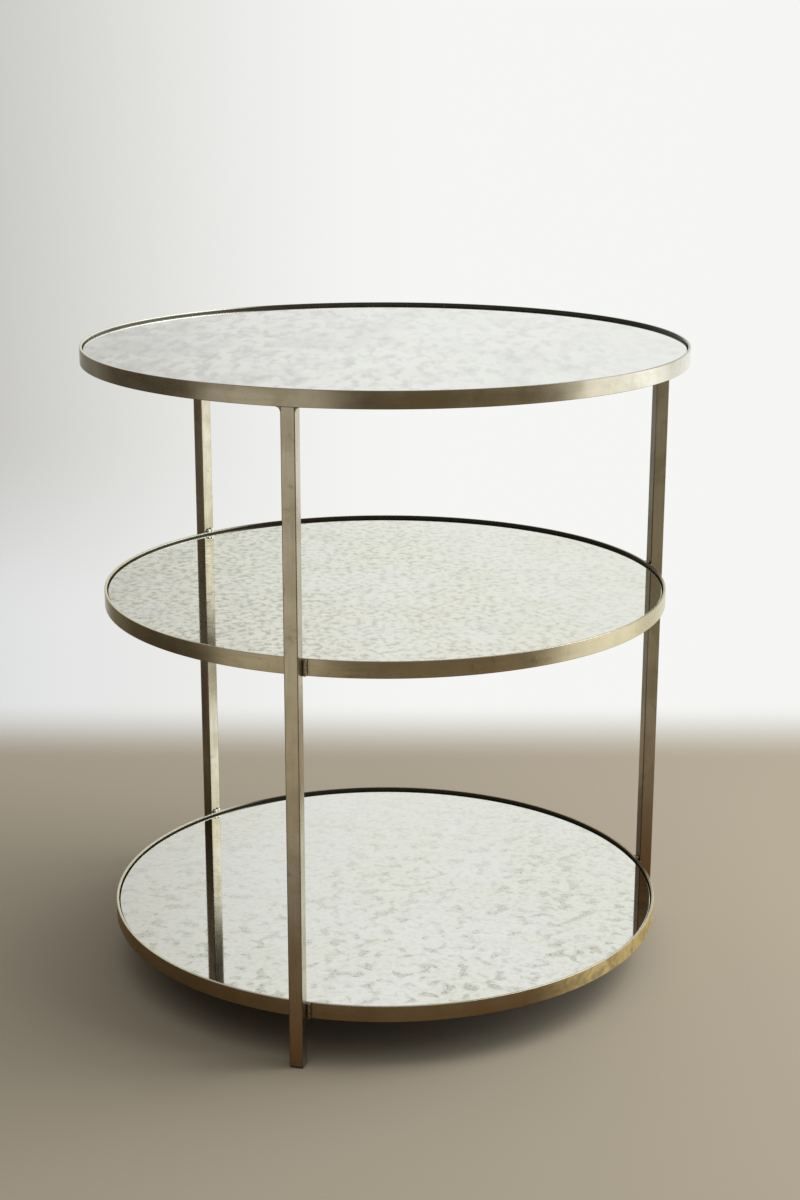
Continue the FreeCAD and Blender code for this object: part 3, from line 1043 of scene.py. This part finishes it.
@dataclass
class BridgingWelds:
    """Lumpy weld beads that cross the gap from a lower rim to each leg.

    Fields that end in "share" are shares of the size that they start with: of a bead's radius, of a
    crown drop's radius or of half the leg.
    """

    tier: Tier
    finish: Material
    bead_radius: float = 2.8 * MILLIMETRE
    bead_inset_share: float = 0.62
    bead_flat_share: float = 0.62
    bead_foot_share: float = 0.55
    bead_ends_share: float = 1.1
    right_bead_share: float = 0.65
    left_bead_share: float = 0.45
    ripple_pitch: float = 1.9 * MILLIMETRE
    jitter: float = 0.2 * MILLIMETRE
    crown_radius: float = 0.5 * MILLIMETRE
    right_crown_radius: float = 2.0 * MILLIMETRE
    left_crown_radius: float = 3.6 * MILLIMETRE
    crown_drops: int = 2
    drop_subdivisions: int = 3
    crown_rise_share: float = 0.3
    crown_in_share: float = 0.42
    crown_up_share: float = 0.8
    leg_crown_start_share: float = -0.45
    leg_crown_step_share: float = 0.6
    leg_filler_share: float = 2.2
    filler_overlap: float = 0.6 * MILLIMETRE
    filler_short_by: float = 1.5 * MILLIMETRE
    highlight_below_top: float = 0.5 * MILLIMETRE
    highlight_fade: float = 0.8 * MILLIMETRE
    voxel: float = 0.45 * MILLIMETRE
    voxel_band: float = 4 * MILLIMETRE
    seed: int = 7
    seed_step: int = 5
    crown_salt: float = 99.0
    column_salt: float = 31.0

    def tree(self, rim_outer: float, depth: float, square: Footprint) -> Grower:
        """Make the tree that grows the beads of one leg.

        Args:
            rim_outer: Radius of the rim's outer face.
            depth: Depth of the rim's bar.
            square: The leg.

        Returns:
            The tree, with the leg on +X and the rim's lower edge at height 0.
        """
        sizes = {
            "Rim outer radius": rim_outer,
            "Gap": square.inner - rim_outer,
            "Half leg": square.half,
            "Bead radius": self.bead_radius,
            "Rise": depth,
            "Crown radius": self.crown_radius,
            "Ripples": max(2, round(depth / self.ripple_pitch)),
            "Jitter": self.jitter,
            "Voxel": self.voxel,
            "Turn": 0.0,
            "Foot": 0.0,
            "Seed": self.seed,
        }
        g = Grower(f"{self.tier.value}_bead_growth", sizes)
        columns = [self.column(g, side, number) for number, side in enumerate((1.0, -1.0))]
        filler_size = g.offset(
            g.math("ADD", g.size("Gap"), self.filler_overlap),
            g.times(g.size("Half leg"), self.leg_filler_share),
            g.math("SUBTRACT", g.size("Rise"), self.filler_short_by),
        )
        filler = g.part("MeshCube", Size=filler_size)
        middle = g.math("ADD", g.size("Rim outer radius"), g.times(g.size("Gap"), 0.5))
        filler = g.shift(filler, middle, 0.0, g.times(g.size("Rise"), 0.5))
        parts = g.join(*columns, filler, self.crown(g, middle))
        skin = self.melt(g, g.part("RealizeInstances", Geometry=parts))
        # Painted highlight: the crown above the rim is marked to turn pale, standing in for the window's
        # glint on the weld.
        above = g.math("SUBTRACT", g.axes(g.place())[2], g.size("Rise"))
        above = g.math("ADD", above, self.highlight_below_top)
        marked = g.mark(skin, "painted_highlight", g.math("DIVIDE", above, self.highlight_fade, use_clamp=True))
        g.end(g.shift(g.turned(marked, g.size("Turn")), 0.0, 0.0, g.size("Foot")), self.finish)
        return g

    def melt(self, g: Grower, lumps: Socket) -> Socket:
        """Return the one skin that lumps have when they run into each other."""
        fine = {"resolution_mode": "VOXEL_SIZE"}
        inputs = {"Mesh": lumps, "Voxel Size": g.size("Voxel"), "Interior Band Width": self.voxel_band}
        volume = g.add("GeometryNodeMeshToVolume", inputs, **fine).outputs[0]
        inputs = {"Volume": volume, "Voxel Size": g.size("Voxel")}
        return g.add("GeometryNodeVolumeToMesh", inputs, **fine).outputs[0]

    def crown(self, g: Grower, out: Socket) -> Socket:
        """Lay drops side by side across the leg, on top of the filled gap.

        Args:
            g: The tree.
            out: Distance of the gap's middle from the table's axis.

        Returns:
            The drops as instances.
        """
        radius = g.size("Crown radius")
        half = g.size("Half leg")
        height = g.math("ADD", g.size("Rise"), g.times(radius, self.crown_rise_share))
        start = g.offset(out, g.times(half, self.leg_crown_start_share), height)
        step = g.offset(0.0, g.times(half, self.leg_crown_step_share), 0.0)
        line = g.part("MeshLine", Count=self.crown_drops, Start_Location=start, Offset=step)
        radii = g.times(radius, self.crown_in_share), radius, g.times(radius, self.crown_up_share)
        return self.drops(g, line, radii, self.crown_salt)

    def drops(self, g: Grower, line: Socket, radii: tuple[Socket, Socket, Socket], salt: float) -> Socket:
        """Put a drop on each point of a line.

        Args:
            g: The tree.
            line: The points.
            radii: The drop's radii, before its own scatter.
            salt: A number that keeps this line's scatter apart from the others'.

        Returns:
            The drops as instances.
        """
        drop = g.part("MeshIcoSphere", Radius=1.0, Subdivisions=self.drop_subdivisions)
        far = g.size("Jitter")
        near = g.times(far, -1.0)
        seed = g.math("ADD", g.size("Seed"), salt)
        chance = {"Min": g.offset(near, near, near), "Max": g.offset(far, far, far), "Seed": seed}
        wobble = g.add("FunctionNodeRandomValue", chance, data_type="FLOAT_VECTOR").outputs[0]
        moved = g.part("SetPosition", Geometry=line, Offset=wobble)
        scale = g.moved(g.offset(*radii), wobble)
        return g.part("InstanceOnPoints", Points=moved, Instance=drop, Scale=scale)

    def column(self, g: Grower, side: float, number: int) -> Socket:
        """Stack rippled drops on one side of the leg.

        Args:
            g: The tree.
            side: 1 or -1, the side of the leg.
            number: The column's number, which keeps its scatter apart from the others'.

        Returns:
            The drops as instances.
        """
        radius = g.size("Bead radius")
        height = g.math("SUBTRACT", g.size("Rise"), g.times(radius, self.bead_ends_share))
        inset = g.times(radius, self.bead_inset_share)
        across = g.times(g.math("ADD", g.size("Half leg"), inset), side)
        out = g.math("ADD", g.size("Rim outer radius"), inset)
        start = g.offset(out, across, g.times(radius, self.bead_foot_share))
        step = g.offset(0.0, 0.0, g.math("DIVIDE", height, g.math("SUBTRACT", g.size("Ripples"), 1.0)))
        line = g.part("MeshLine", Count=g.size("Ripples"), Start_Location=start, Offset=step)
        radii = radius, radius, g.times(radius, self.bead_flat_share)
        return self.drops(g, line, radii, number * self.column_salt)

    def build(self) -> Piece:
        """Grow the beads of the three legs and join them into one piece."""
        node = f"{self.tier.value}_leg_welds"
        rim_low, rim_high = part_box(f"{self.tier.value}_rim")
        _, rim_outer = radial_span(f"{self.tier.value}_rim")
        grower = self.tree(rim_outer, rim_high.z - rim_low.z, Footprint.of(Stand.FRONT, "leg"))
        radii = {
            Stand.FRONT: (1.0, self.crown_radius),
            Stand.RIGHT: (self.right_bead_share, self.right_crown_radius),
            Stand.LEFT: (self.left_bead_share, self.left_crown_radius),
        }
        whole = bmesh.new()
        for number, stand in enumerate(Stand):
            bead_share, crown_radius = radii[stand]
            changes = {
                "Turn": leg_turn(stand),
                "Foot": rim_low.z,
                "Seed": self.seed + self.seed_step * number,
                "Bead radius": bead_share * self.bead_radius,
                "Crown radius": crown_radius,
            }
            grown = grower.grow(changes)
            whole.from_mesh(grown)
            bpy.data.meshes.remove(grown)
        mesh = bpy.data.meshes.new(node)
        whole.to_mesh(mesh)
        whole.free()
        mesh.shade_smooth()
        return finish_piece(mesh, f"{self.tier.value}_bead_welds", self.finish, "weld_brass", node)


@dataclass
class BoardScrews:
    """Hexagon-head screws with a pressed washer, under one tier."""

    tier: Tier
    finish: Material
    head_width: float = 7.0 * MILLIMETRE
    head_height: float = 2.8 * MILLIMETRE
    washer_radius: float = 4.6 * MILLIMETRE
    washer_height: float = 0.7 * MILLIMETRE
    shank_radius: float = 2.0 * MILLIMETRE
    shank_length: float = 9.0 * MILLIMETRE
    head_sides: int = 6
    washer_sides: int = 40
    shank_sides: int = 24
    count: int = 3

    def build(self) -> Piece:
        """Set a screw in each drilled tab."""
        node = f"{self.tier.value}_board_screws"
        low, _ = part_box(node)
        inner, outer = radial_span(node)
        sizes = {
            "Ring radius": (inner + outer) / 2,
            "First turn": leg_turn(Stand.FRONT) + math.pi / self.count,
            "Count": self.count,
            "Tab underside": low.z + self.head_height,
        }
        g = Grower(f"{node}_ring", sizes)
        rods = (
            (self.head_sides, self.head_width / math.sqrt(3), -self.head_height),
            (self.washer_sides, self.washer_radius, -self.washer_height),
            (self.shank_sides, self.shank_radius, self.shank_length),
        )
        screw = g.join(*(self.rod(g, *rod) for rod in rods))
        ring = g.part("MeshCircle", Vertices=g.size("Count"), Radius=g.size("Ring radius"))
        screws = g.part("InstanceOnPoints", Points=ring, Instance=screw)
        turned = g.turned(screws, g.size("First turn"))
        g.end(g.shift(turned, 0.0, 0.0, g.size("Tab underside")), self.finish)
        mesh = g.grow()
        mesh.shade_flat()
        return finish_piece(mesh, f"{self.tier.value}_hex_screws", self.finish, "zinc_steel", node)

    def rod(self, g: Grower, sides: int, radius: float, top: float) -> Socket:
        """Return an upright rod from height 0 up to top, or down to it where it is below 0."""
        rod = g.part("MeshCylinder", Vertices=sides, Radius=radius, Depth=abs(top))
        return g.shift(rod, 0.0, 0.0, top / 2)


def dress_node(node: str, material: Material) -> None:
    """Give a node of the frame a finish."""
    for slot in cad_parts[node].material_slots:
        slot.material = material
    log.info("%s: dressed with %s", node, material.name)


# ---------------------------------------------------------------- studio


@dataclass(frozen=True)
class Viewpoint:
    """The camera: where it stands, how it is turned and how much it takes in."""

    sideways: float = 0.0083
    distance: float = 2.3328
    height: float = 1.0975
    pitch_degrees: float = 15.626
    yaw_degrees: float = 0.233
    roll_degrees: float = 0.102
    focal_pixels: float = 1990.4
    frame_height_pixels: float = 1200.0
    sensor: float = 36.0
    far_clip: float = 60.0

    def place(self) -> None:
        """Add the camera to the scene and use it."""
        camera = bpy.data.cameras.new("camera")
        camera.sensor_fit = "VERTICAL"
        camera.sensor_height = self.sensor
        camera.lens = self.focal_pixels / self.frame_height_pixels * self.sensor
        camera.clip_end = self.far_clip
        degrees = self.pitch_degrees, self.yaw_degrees, self.roll_degrees
        pitch, yaw, roll = (math.radians(angle) for angle in degrees)
        reach = math.cos(pitch)
        ahead = Vector((math.sin(yaw) * reach, math.cos(yaw) * reach, -math.sin(pitch)))
        level = Vector((math.cos(yaw), -math.sin(yaw), 0))
        upright = level.cross(ahead)
        right = level * math.cos(roll) + upright * math.sin(roll)
        up = upright * math.cos(roll) - level * math.sin(roll)
        holder = bpy.data.objects.new("camera", camera)
        axes = Matrix((right, up, -ahead)).transposed().to_4x4()
        holder.matrix_world = Matrix.Translation((self.sideways, -self.distance, self.height)) @ axes
        bpy.context.scene.collection.objects.link(holder)
        bpy.context.scene.camera = holder


@dataclass(frozen=True)
class Softbox:
    """A large soft lamp aimed at a point."""

    name: str
    stands_at: tuple[float, float, float]
    aims_at: tuple[float, float, float]
    width: float
    height: float
    power: float
    colour: Colour = (1.0, 1.0, 1.0)

    def place(self) -> None:
        """Add the lamp to the scene."""
        lamp = bpy.data.lights.new(self.name, "AREA")
        lamp.shape = "RECTANGLE"
        lamp.size, lamp.size_y = self.width, self.height
        lamp.energy = self.power
        lamp.color = self.colour
        holder = bpy.data.objects.new(self.name, lamp)
        holder.location = self.stands_at
        direction = Vector(self.aims_at) - Vector(self.stands_at)
        holder.rotation_euler = direction.to_track_quat("-Z", "Y").to_euler()
        holder.visible_camera = False
        bpy.context.scene.collection.objects.link(holder)


@dataclass(frozen=True)
class Quarter:
    """A stretch of the directions from the table, with soft edges.

    It reaches as high as below_sine and as low as above_sine, both the sine of an elevation.
    """

    azimuth_degrees: float
    half_width_degrees: float
    fade_degrees: float
    below_sine: float = 2.0
    above_sine: float = -2.0
    edge_sine: float = 0.1

    def share(self, g: Graph, flat: Sequence[Socket], rise: Socket) -> Socket:
        """Say how far a direction lies inside the quarter.

        Args:
            g: The world's graph.
            flat: The level part of the direction looked in, as x and y of length 1.
            rise: The sine of the direction's elevation.

        Returns:
            1 in the middle of the quarter and 0 outside it.
        """
        towards = math.radians(self.azimuth_degrees)
        along = [g.times(flat[0], math.cos(towards)), g.times(flat[1], math.sin(towards))]
        angle = g.math("ARCCOSINE", g.math("MINIMUM", g.math("ADD", *along), NOT_QUITE_ONE))
        core = math.radians(self.half_width_degrees)
        around = g.ease(angle, core + math.radians(self.fade_degrees), core)
        low = g.ease(rise, self.below_sine, self.below_sine - self.edge_sine)
        high = g.ease(rise, self.above_sine, self.above_sine + self.edge_sine)
        return g.times(around, low, high)


@dataclass(frozen=True)
class Glow(Quarter):
    """The room's light from one quarter."""

    colour: Colour = (1.0, 1.0, 1.0)


@dataclass(frozen=True)
class Studio:
    """A pale room: a floor that turns clear at its edges, in soft light that differs by direction.

    The table's metal and glass show the glows. From other sides than the front, pale_room stands
    behind the table and mirrored_room in its mirrors.
    """

    floor_reach: float = 1.6
    floor_left: float = -0.66
    floor_right: float = 0.72
    floor_front: float = -0.74
    floor_back: float = 0.64
    floor_fade: float = 0.30
    floor_left_fade: float = 0.16
    floor_colour: Colour = (0.54, 0.475, 0.375)
    floor_roughness: float = 0.9
    floor_shine: float = 0.1
    unlit: Colour = (0.14, 0.12, 0.095)
    overhead: Colour = (0.42, 0.41, 0.385)
    overhead_from_degrees: float = 32.0
    overhead_to_degrees: float = 52.0
    low_warmth: Colour = (0.60, 0.50, 0.33)
    warm_below: Span = (-0.14, -0.46)
    front_right: Glow = Glow(305.0, 20.0, 30.0, colour=(0.25, 0.21, 0.145))
    fill: Glow = Glow(226.0, 17.0, 16.0, colour=(0.90, 0.88, 0.81), below_sine=0.05)
    corner: Glow = Glow(122.0, 10.0, 22.0, colour=(0.26, 0.25, 0.225))
    skirting: Glow = Glow(106.0, 5.0, 14.0, colour=(0.55, 0.56, 0.58), below_sine=-0.18)
    bright_wall: Glow = Glow(50.0, 15.0, 35.0, colour=(1.16, 1.20, 1.20))
    window: Glow = Glow(7.0, 15.0, 23.0, colour=(2.15, 2.25, 2.3))
    wall: Glow = Glow(85.0, 3.0, 28.0, colour=(0.92, 0.925, 0.905))
    behind: Quarter = Quarter(86.0, 14.0, 40.0)
    sunlit_floor: Glow = Glow(298.0, 30.0, 25.0, colour=(0.36, 0.29, 0.20), below_sine=-0.22)
    dim_front: Glow = Glow(250.0, 75.0, 25.0, 0.55, -0.08, colour=(0.055, 0.050, 0.038))
    pale_room: Colour = (0.80, 0.80, 0.78)
    far_floor: Colour = (0.42, 0.375, 0.30)
    horizon: Span = (-0.06, 0.03)
    mirrored_room: Colour = (0.66, 0.655, 0.625)
    mirrored_above: Span = (0.01, 0.09)
    past_first_bounce: float = 2.5
    as_it_is: Quarter = Quarter(90.0, 22.0, 30.0)
    floor_segments: int = 96
    lamps: tuple[Softbox, ...] = (
        Softbox("ceiling", (0.0, 0.3, 2.9), (0.0, 0.0, 0.3), 2.6, 2.6, 6.0),
        Softbox("window", (1.4, 0.1, 1.75), (0.1, -0.2, 0.0), 1.1, 1.1, 17.0, (1.0, 0.98, 0.94)),
    )

    def build(self) -> None:
        """Set the view transform and add the surroundings, the floor and the lamps."""
        bpy.context.scene.view_settings.view_transform = "Standard"
        self.light_room()
        self.lay_floor()
        for lamp in self.lamps:
            lamp.place()

    def light_room(self) -> None:
        """Make the surrounding light, by the way it comes from."""
        world = bpy.data.worlds.new("room")
        world.use_nodes = True
        bpy.context.scene.world = world
        g = Graph(world.node_tree)
        axes = g.axes(g.add("ShaderNodeTexCoord").outputs["Generated"])
        rise = axes[2]
        level = g.math("MAXIMUM", g.from_axis(axes), NOT_QUITE_ZERO)
        flat = [g.math("DIVIDE", axis, level) for axis in axes[:2]]
        rays = g.add("ShaderNodeLightPath").outputs
        sides = self.front_right, self.fill, self.corner, self.skirting
        light: object = self.unlit
        for glow in (*sides, self.bright_wall, self.window, self.wall):
            light = g.blend(glow.share(g, flat, rise), light, glow.colour)
        warm = g.blend(1.0, light, self.low_warmth, "MULTIPLY")
        aside = g.math("SUBTRACT", 1.0, self.behind.share(g, flat, rise))
        light = g.blend(g.times(g.ease(rise, *self.warm_below), aside), light, warm)
        light = g.blend(self.sunlit_floor.share(g, flat, rise), light, self.sunlit_floor.colour)
        dull = g.math("SUBTRACT", 1.0, rays["Is Glossy Ray"])
        light = g.blend(g.times(self.dim_front.share(g, flat, rise), dull), light, self.dim_front.colour)
        elsewhere = g.math("SUBTRACT", 1.0, self.as_it_is.share(g, flat, rise))
        early = g.math("LESS_THAN", rays["Ray Depth"], self.past_first_bounce)
        mirrored = g.times(g.ease(rise, *self.mirrored_above), rays["Is Glossy Ray"], early, elsewhere)
        light = g.blend(mirrored, light, self.mirrored_room)
        steps = [math.sin(math.radians(a)) for a in (self.overhead_from_degrees, self.overhead_to_degrees)]
        light = g.blend(g.ease(rise, *steps), light, self.overhead)
        seen = g.blend(g.ease(rise, *self.horizon), self.far_floor, self.pale_room)
        light = g.blend(g.times(rays["Is Camera Ray"], elsewhere), light, seen)
        background = world.node_tree.nodes["Background"]
        world.node_tree.links.new(light, background.inputs["Color"])

    def lay_floor(self) -> None:
        """Add the floor, which turns clear towards its edges and is clear from below."""
        loft = Loft()
        rim = loft.ring(circle(self.floor_reach, 0.0, self.floor_segments))
        loft.cap_fan(rim, Vector((0, 0, 0)), upwards=True)
        floor = bpy.data.objects.new("floor", loft.to_mesh("floor"))
        bpy.context.scene.collection.objects.link(floor)
        s = Surface("pale_floor")
        axes = s.axes(s.place)
        left = s.ease(axes[0], self.floor_left - self.floor_left_fade, self.floor_left)
        right = s.ease(axes[0], self.floor_right + self.floor_fade, self.floor_right)
        ahead = s.ease(axes[1], self.floor_front - self.floor_fade, self.floor_front)
        back = s.ease(axes[1], self.floor_back + self.floor_fade, self.floor_back)
        from_above = s.math("SUBTRACT", 1.0, s.add("ShaderNodeNewGeometry").outputs["Backfacing"])
        solid = s.times(left, right, ahead, back, from_above)
        s.feed(Base_Color=self.floor_colour, Roughness=self.floor_roughness, Alpha=solid)
        s.feed(Specular_IOR_Level=self.floor_shine)
        floor.data.materials.append(s.material)


# ---------------------------------------------------------------- assembly


class SideTable:
    """The whole table: which finish each piece has, and the pieces."""

    def hoop_brasses(self) -> dict[Tier, AgedBrass]:
        """Return the finish of each tier's hoop."""
        tops = {tier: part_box(f"{tier.value}_rim")[1].z for tier in Tier}
        return {
            Tier.TOP: AgedBrass(
                "aged_brass_top_hoop", Grain.ROUND, brass=(0.38, 0.332, 0.246), olive=(0.285, 0.243, 0.158),
                relief=0.012, lacquer=0.8, blotched=0.25, highlight_from=-0.15, right_highlight=(0.44, 0.42, 0.36),
                right_highlight_share=0.8, right_highlight_from=0.20, lip_top=tops[Tier.TOP],
            ),
            Tier.MIDDLE: AgedBrass(
                "aged_brass_middle_hoop", Grain.ROUND, brass=(0.43, 0.375, 0.26),
                grazing=(0.97, 0.90, 0.70), relief=0.015, highlight_front=0.6, right_highlight=(0.37, 0.34, 0.255),
                right_highlight_share=0.7, lip_top=tops[Tier.MIDDLE],
            ),
            Tier.BOTTOM: AgedBrass(
                "aged_brass_bottom_hoop", Grain.ROUND, grazing=(1.0, 0.90, 0.66), relief=0.02,
                smoothest=0.32, roughest=0.40, lacquer=0.15, low_shade=(0.168, 0.079, 0.015),
                low_shade_share=0.82, right_highlight=(0.95, 0.80, 0.44), right_highlight_share=1.0, highlight_front=0.8,
                lip_top=tops[Tier.BOTTOM],
            ),
        }

    def leg_brasses(self) -> dict[Stand, AgedBrass]:
        """Return the finish of each leg."""
        # The legs are one metal: the right leg's lighter copy and the left leg's are painted light, matched
        # to the light each leg gets.
        grey = {"brass": (0.455, 0.41, 0.328), "olive": (0.37, 0.325, 0.24), "umber": (0.21, 0.155, 0.10)}
        lit_copy = {"brass": (0.54, 0.51, 0.425), "olive": (0.43, 0.40, 0.31), "umber": (0.24, 0.18, 0.12)}
        return {
            Stand.FRONT: AgedBrass(
                "aged_brass_front_leg", Grain.UPRIGHT, **grey, low_shade=(0.22, 0.10, 0.028), low_shade_height=0.26,
                low_shade_share=0.84, low_shade_until=-0.0905,
            ),
            Stand.RIGHT: AgedBrass(
                "aged_brass_right_leg", Grain.UPRIGHT, **lit_copy, low_shade=(0.15, 0.07, 0.018), low_shade_height=0.42,
                low_shade_share=0.95,
            ),
            Stand.LEFT: AgedBrass(
                "aged_brass_left_leg", Grain.UPRIGHT, brass=(0.50, 0.45, 0.36), olive=(0.39, 0.345, 0.25),
                umber=(0.195, 0.145, 0.093), low_shade=(0.09, 0.055, 0.012), low_shade_height=0.36, low_shade_share=1.0,
                low_shade_until=-0.2418,
            ),
        }

    def bead_brasses(self) -> dict[Tier, AgedBrass]:
        """Return the finish of each lower tier's beads."""
        # The crowns' pale, less metallic tops are painted highlight.
        highlight_tops = {"painted_highlight": (0.92, 0.90, 0.82), "highlight_from": 1.0, "highlight_metal": 0.7}
        weld = {"grain": Grain.NONE, "smoothest": 0.24, "roughest": 0.34, **highlight_tops}
        return {
            Tier.MIDDLE: AgedBrass(
                "weld_brass", brass=(0.29, 0.265, 0.17), olive=(0.21, 0.19, 0.12),
                umber=(0.11, 0.095, 0.055), **weld,
            ),
            Tier.BOTTOM: AgedBrass(
                "brown_weld_brass", brass=(0.16, 0.125, 0.075), olive=(0.11, 0.085, 0.05),
                umber=(0.05, 0.037, 0.02), **weld,
            ),
        }

    def mirrors(self) -> dict[Tier, AntiquedMirror]:
        """Return the antiquing of each tier's mirror."""
        return {
            Tier.TOP: AntiquedMirror(
                "antiqued_mirror_top", 3.1, silver=(0.80, 0.815, 0.78), cream=(0.785, 0.795, 0.735),
                smoke=(0.47, 0.48, 0.44), heart=(0.34, 0.345, 0.31), fleck_size=0.013, fleck_deep=3.0,
                fleck_share=0.72, cloud_share=0.42, heavier_right=-0.66,
            ),
            Tier.MIDDLE: AntiquedMirror(
                "antiqued_mirror_middle", 7.7, silver=(0.81, 0.815, 0.75), cream=(0.80, 0.80, 0.68),
                smoke=(0.45, 0.455, 0.37), heart=(0.26, 0.265, 0.20), fleck_size=0.0085, fleck_deep=1.2,
                fleck_share=0.66, cloud_share=0.18, heavier_right=-0.56,
            ),
            Tier.BOTTOM: AntiquedMirror(
                "antiqued_mirror_bottom", 1.9, silver=(0.81, 0.82, 0.785), cream=(0.80, 0.80, 0.735),
                smoke=(0.50, 0.51, 0.42), heart=(0.29, 0.29, 0.22), fleck_size=0.0065, fleck_deep=1.0,
                fleck_share=0.22, cloud_share=0.05, blot_size=0.0165, blot_share=0.57, heavier_right=0.26,
                heavier_front=0.85,
            ),
        }

    def build(self) -> None:
        """Build and dress every piece."""
        hoop_brasses, mirrors = self.hoop_brasses(), self.mirrors()
        leg_finishes = {stand: brass.make() for stand, brass in self.leg_brasses().items()}
        board, zinc, nylon = SealedBoard().make(), ZincPlate().make(), MouldedNylon().make()
        for tier in Tier:
            Rim(tier, hoop_brasses[tier].make()).build()
            MirrorPlate(tier, mirrors[tier].make()).build()
            BoardScrews(tier, zinc).build()
            dress_node(f"{tier.value}_board", board)
            dress_node(f"{tier.value}_tabs", leg_finishes[Stand.FRONT])
        for stand in Stand:
            Leg(stand, leg_finishes[stand]).build()
            Glide(stand, nylon).build()
        GroundFillets(leg_finishes[Stand.FRONT]).build()
        for tier, brass in self.bead_brasses().items():
            BridgingWelds(tier, brass.make()).build()


def main() -> None:
    """Build the table and the studio around it."""
    logging.basicConfig(level=logging.INFO, format="%(name)s: %(message)s")
    SideTable().build()
    Studio().build()
    Viewpoint().place()


if __name__ == "__main__":
    main()
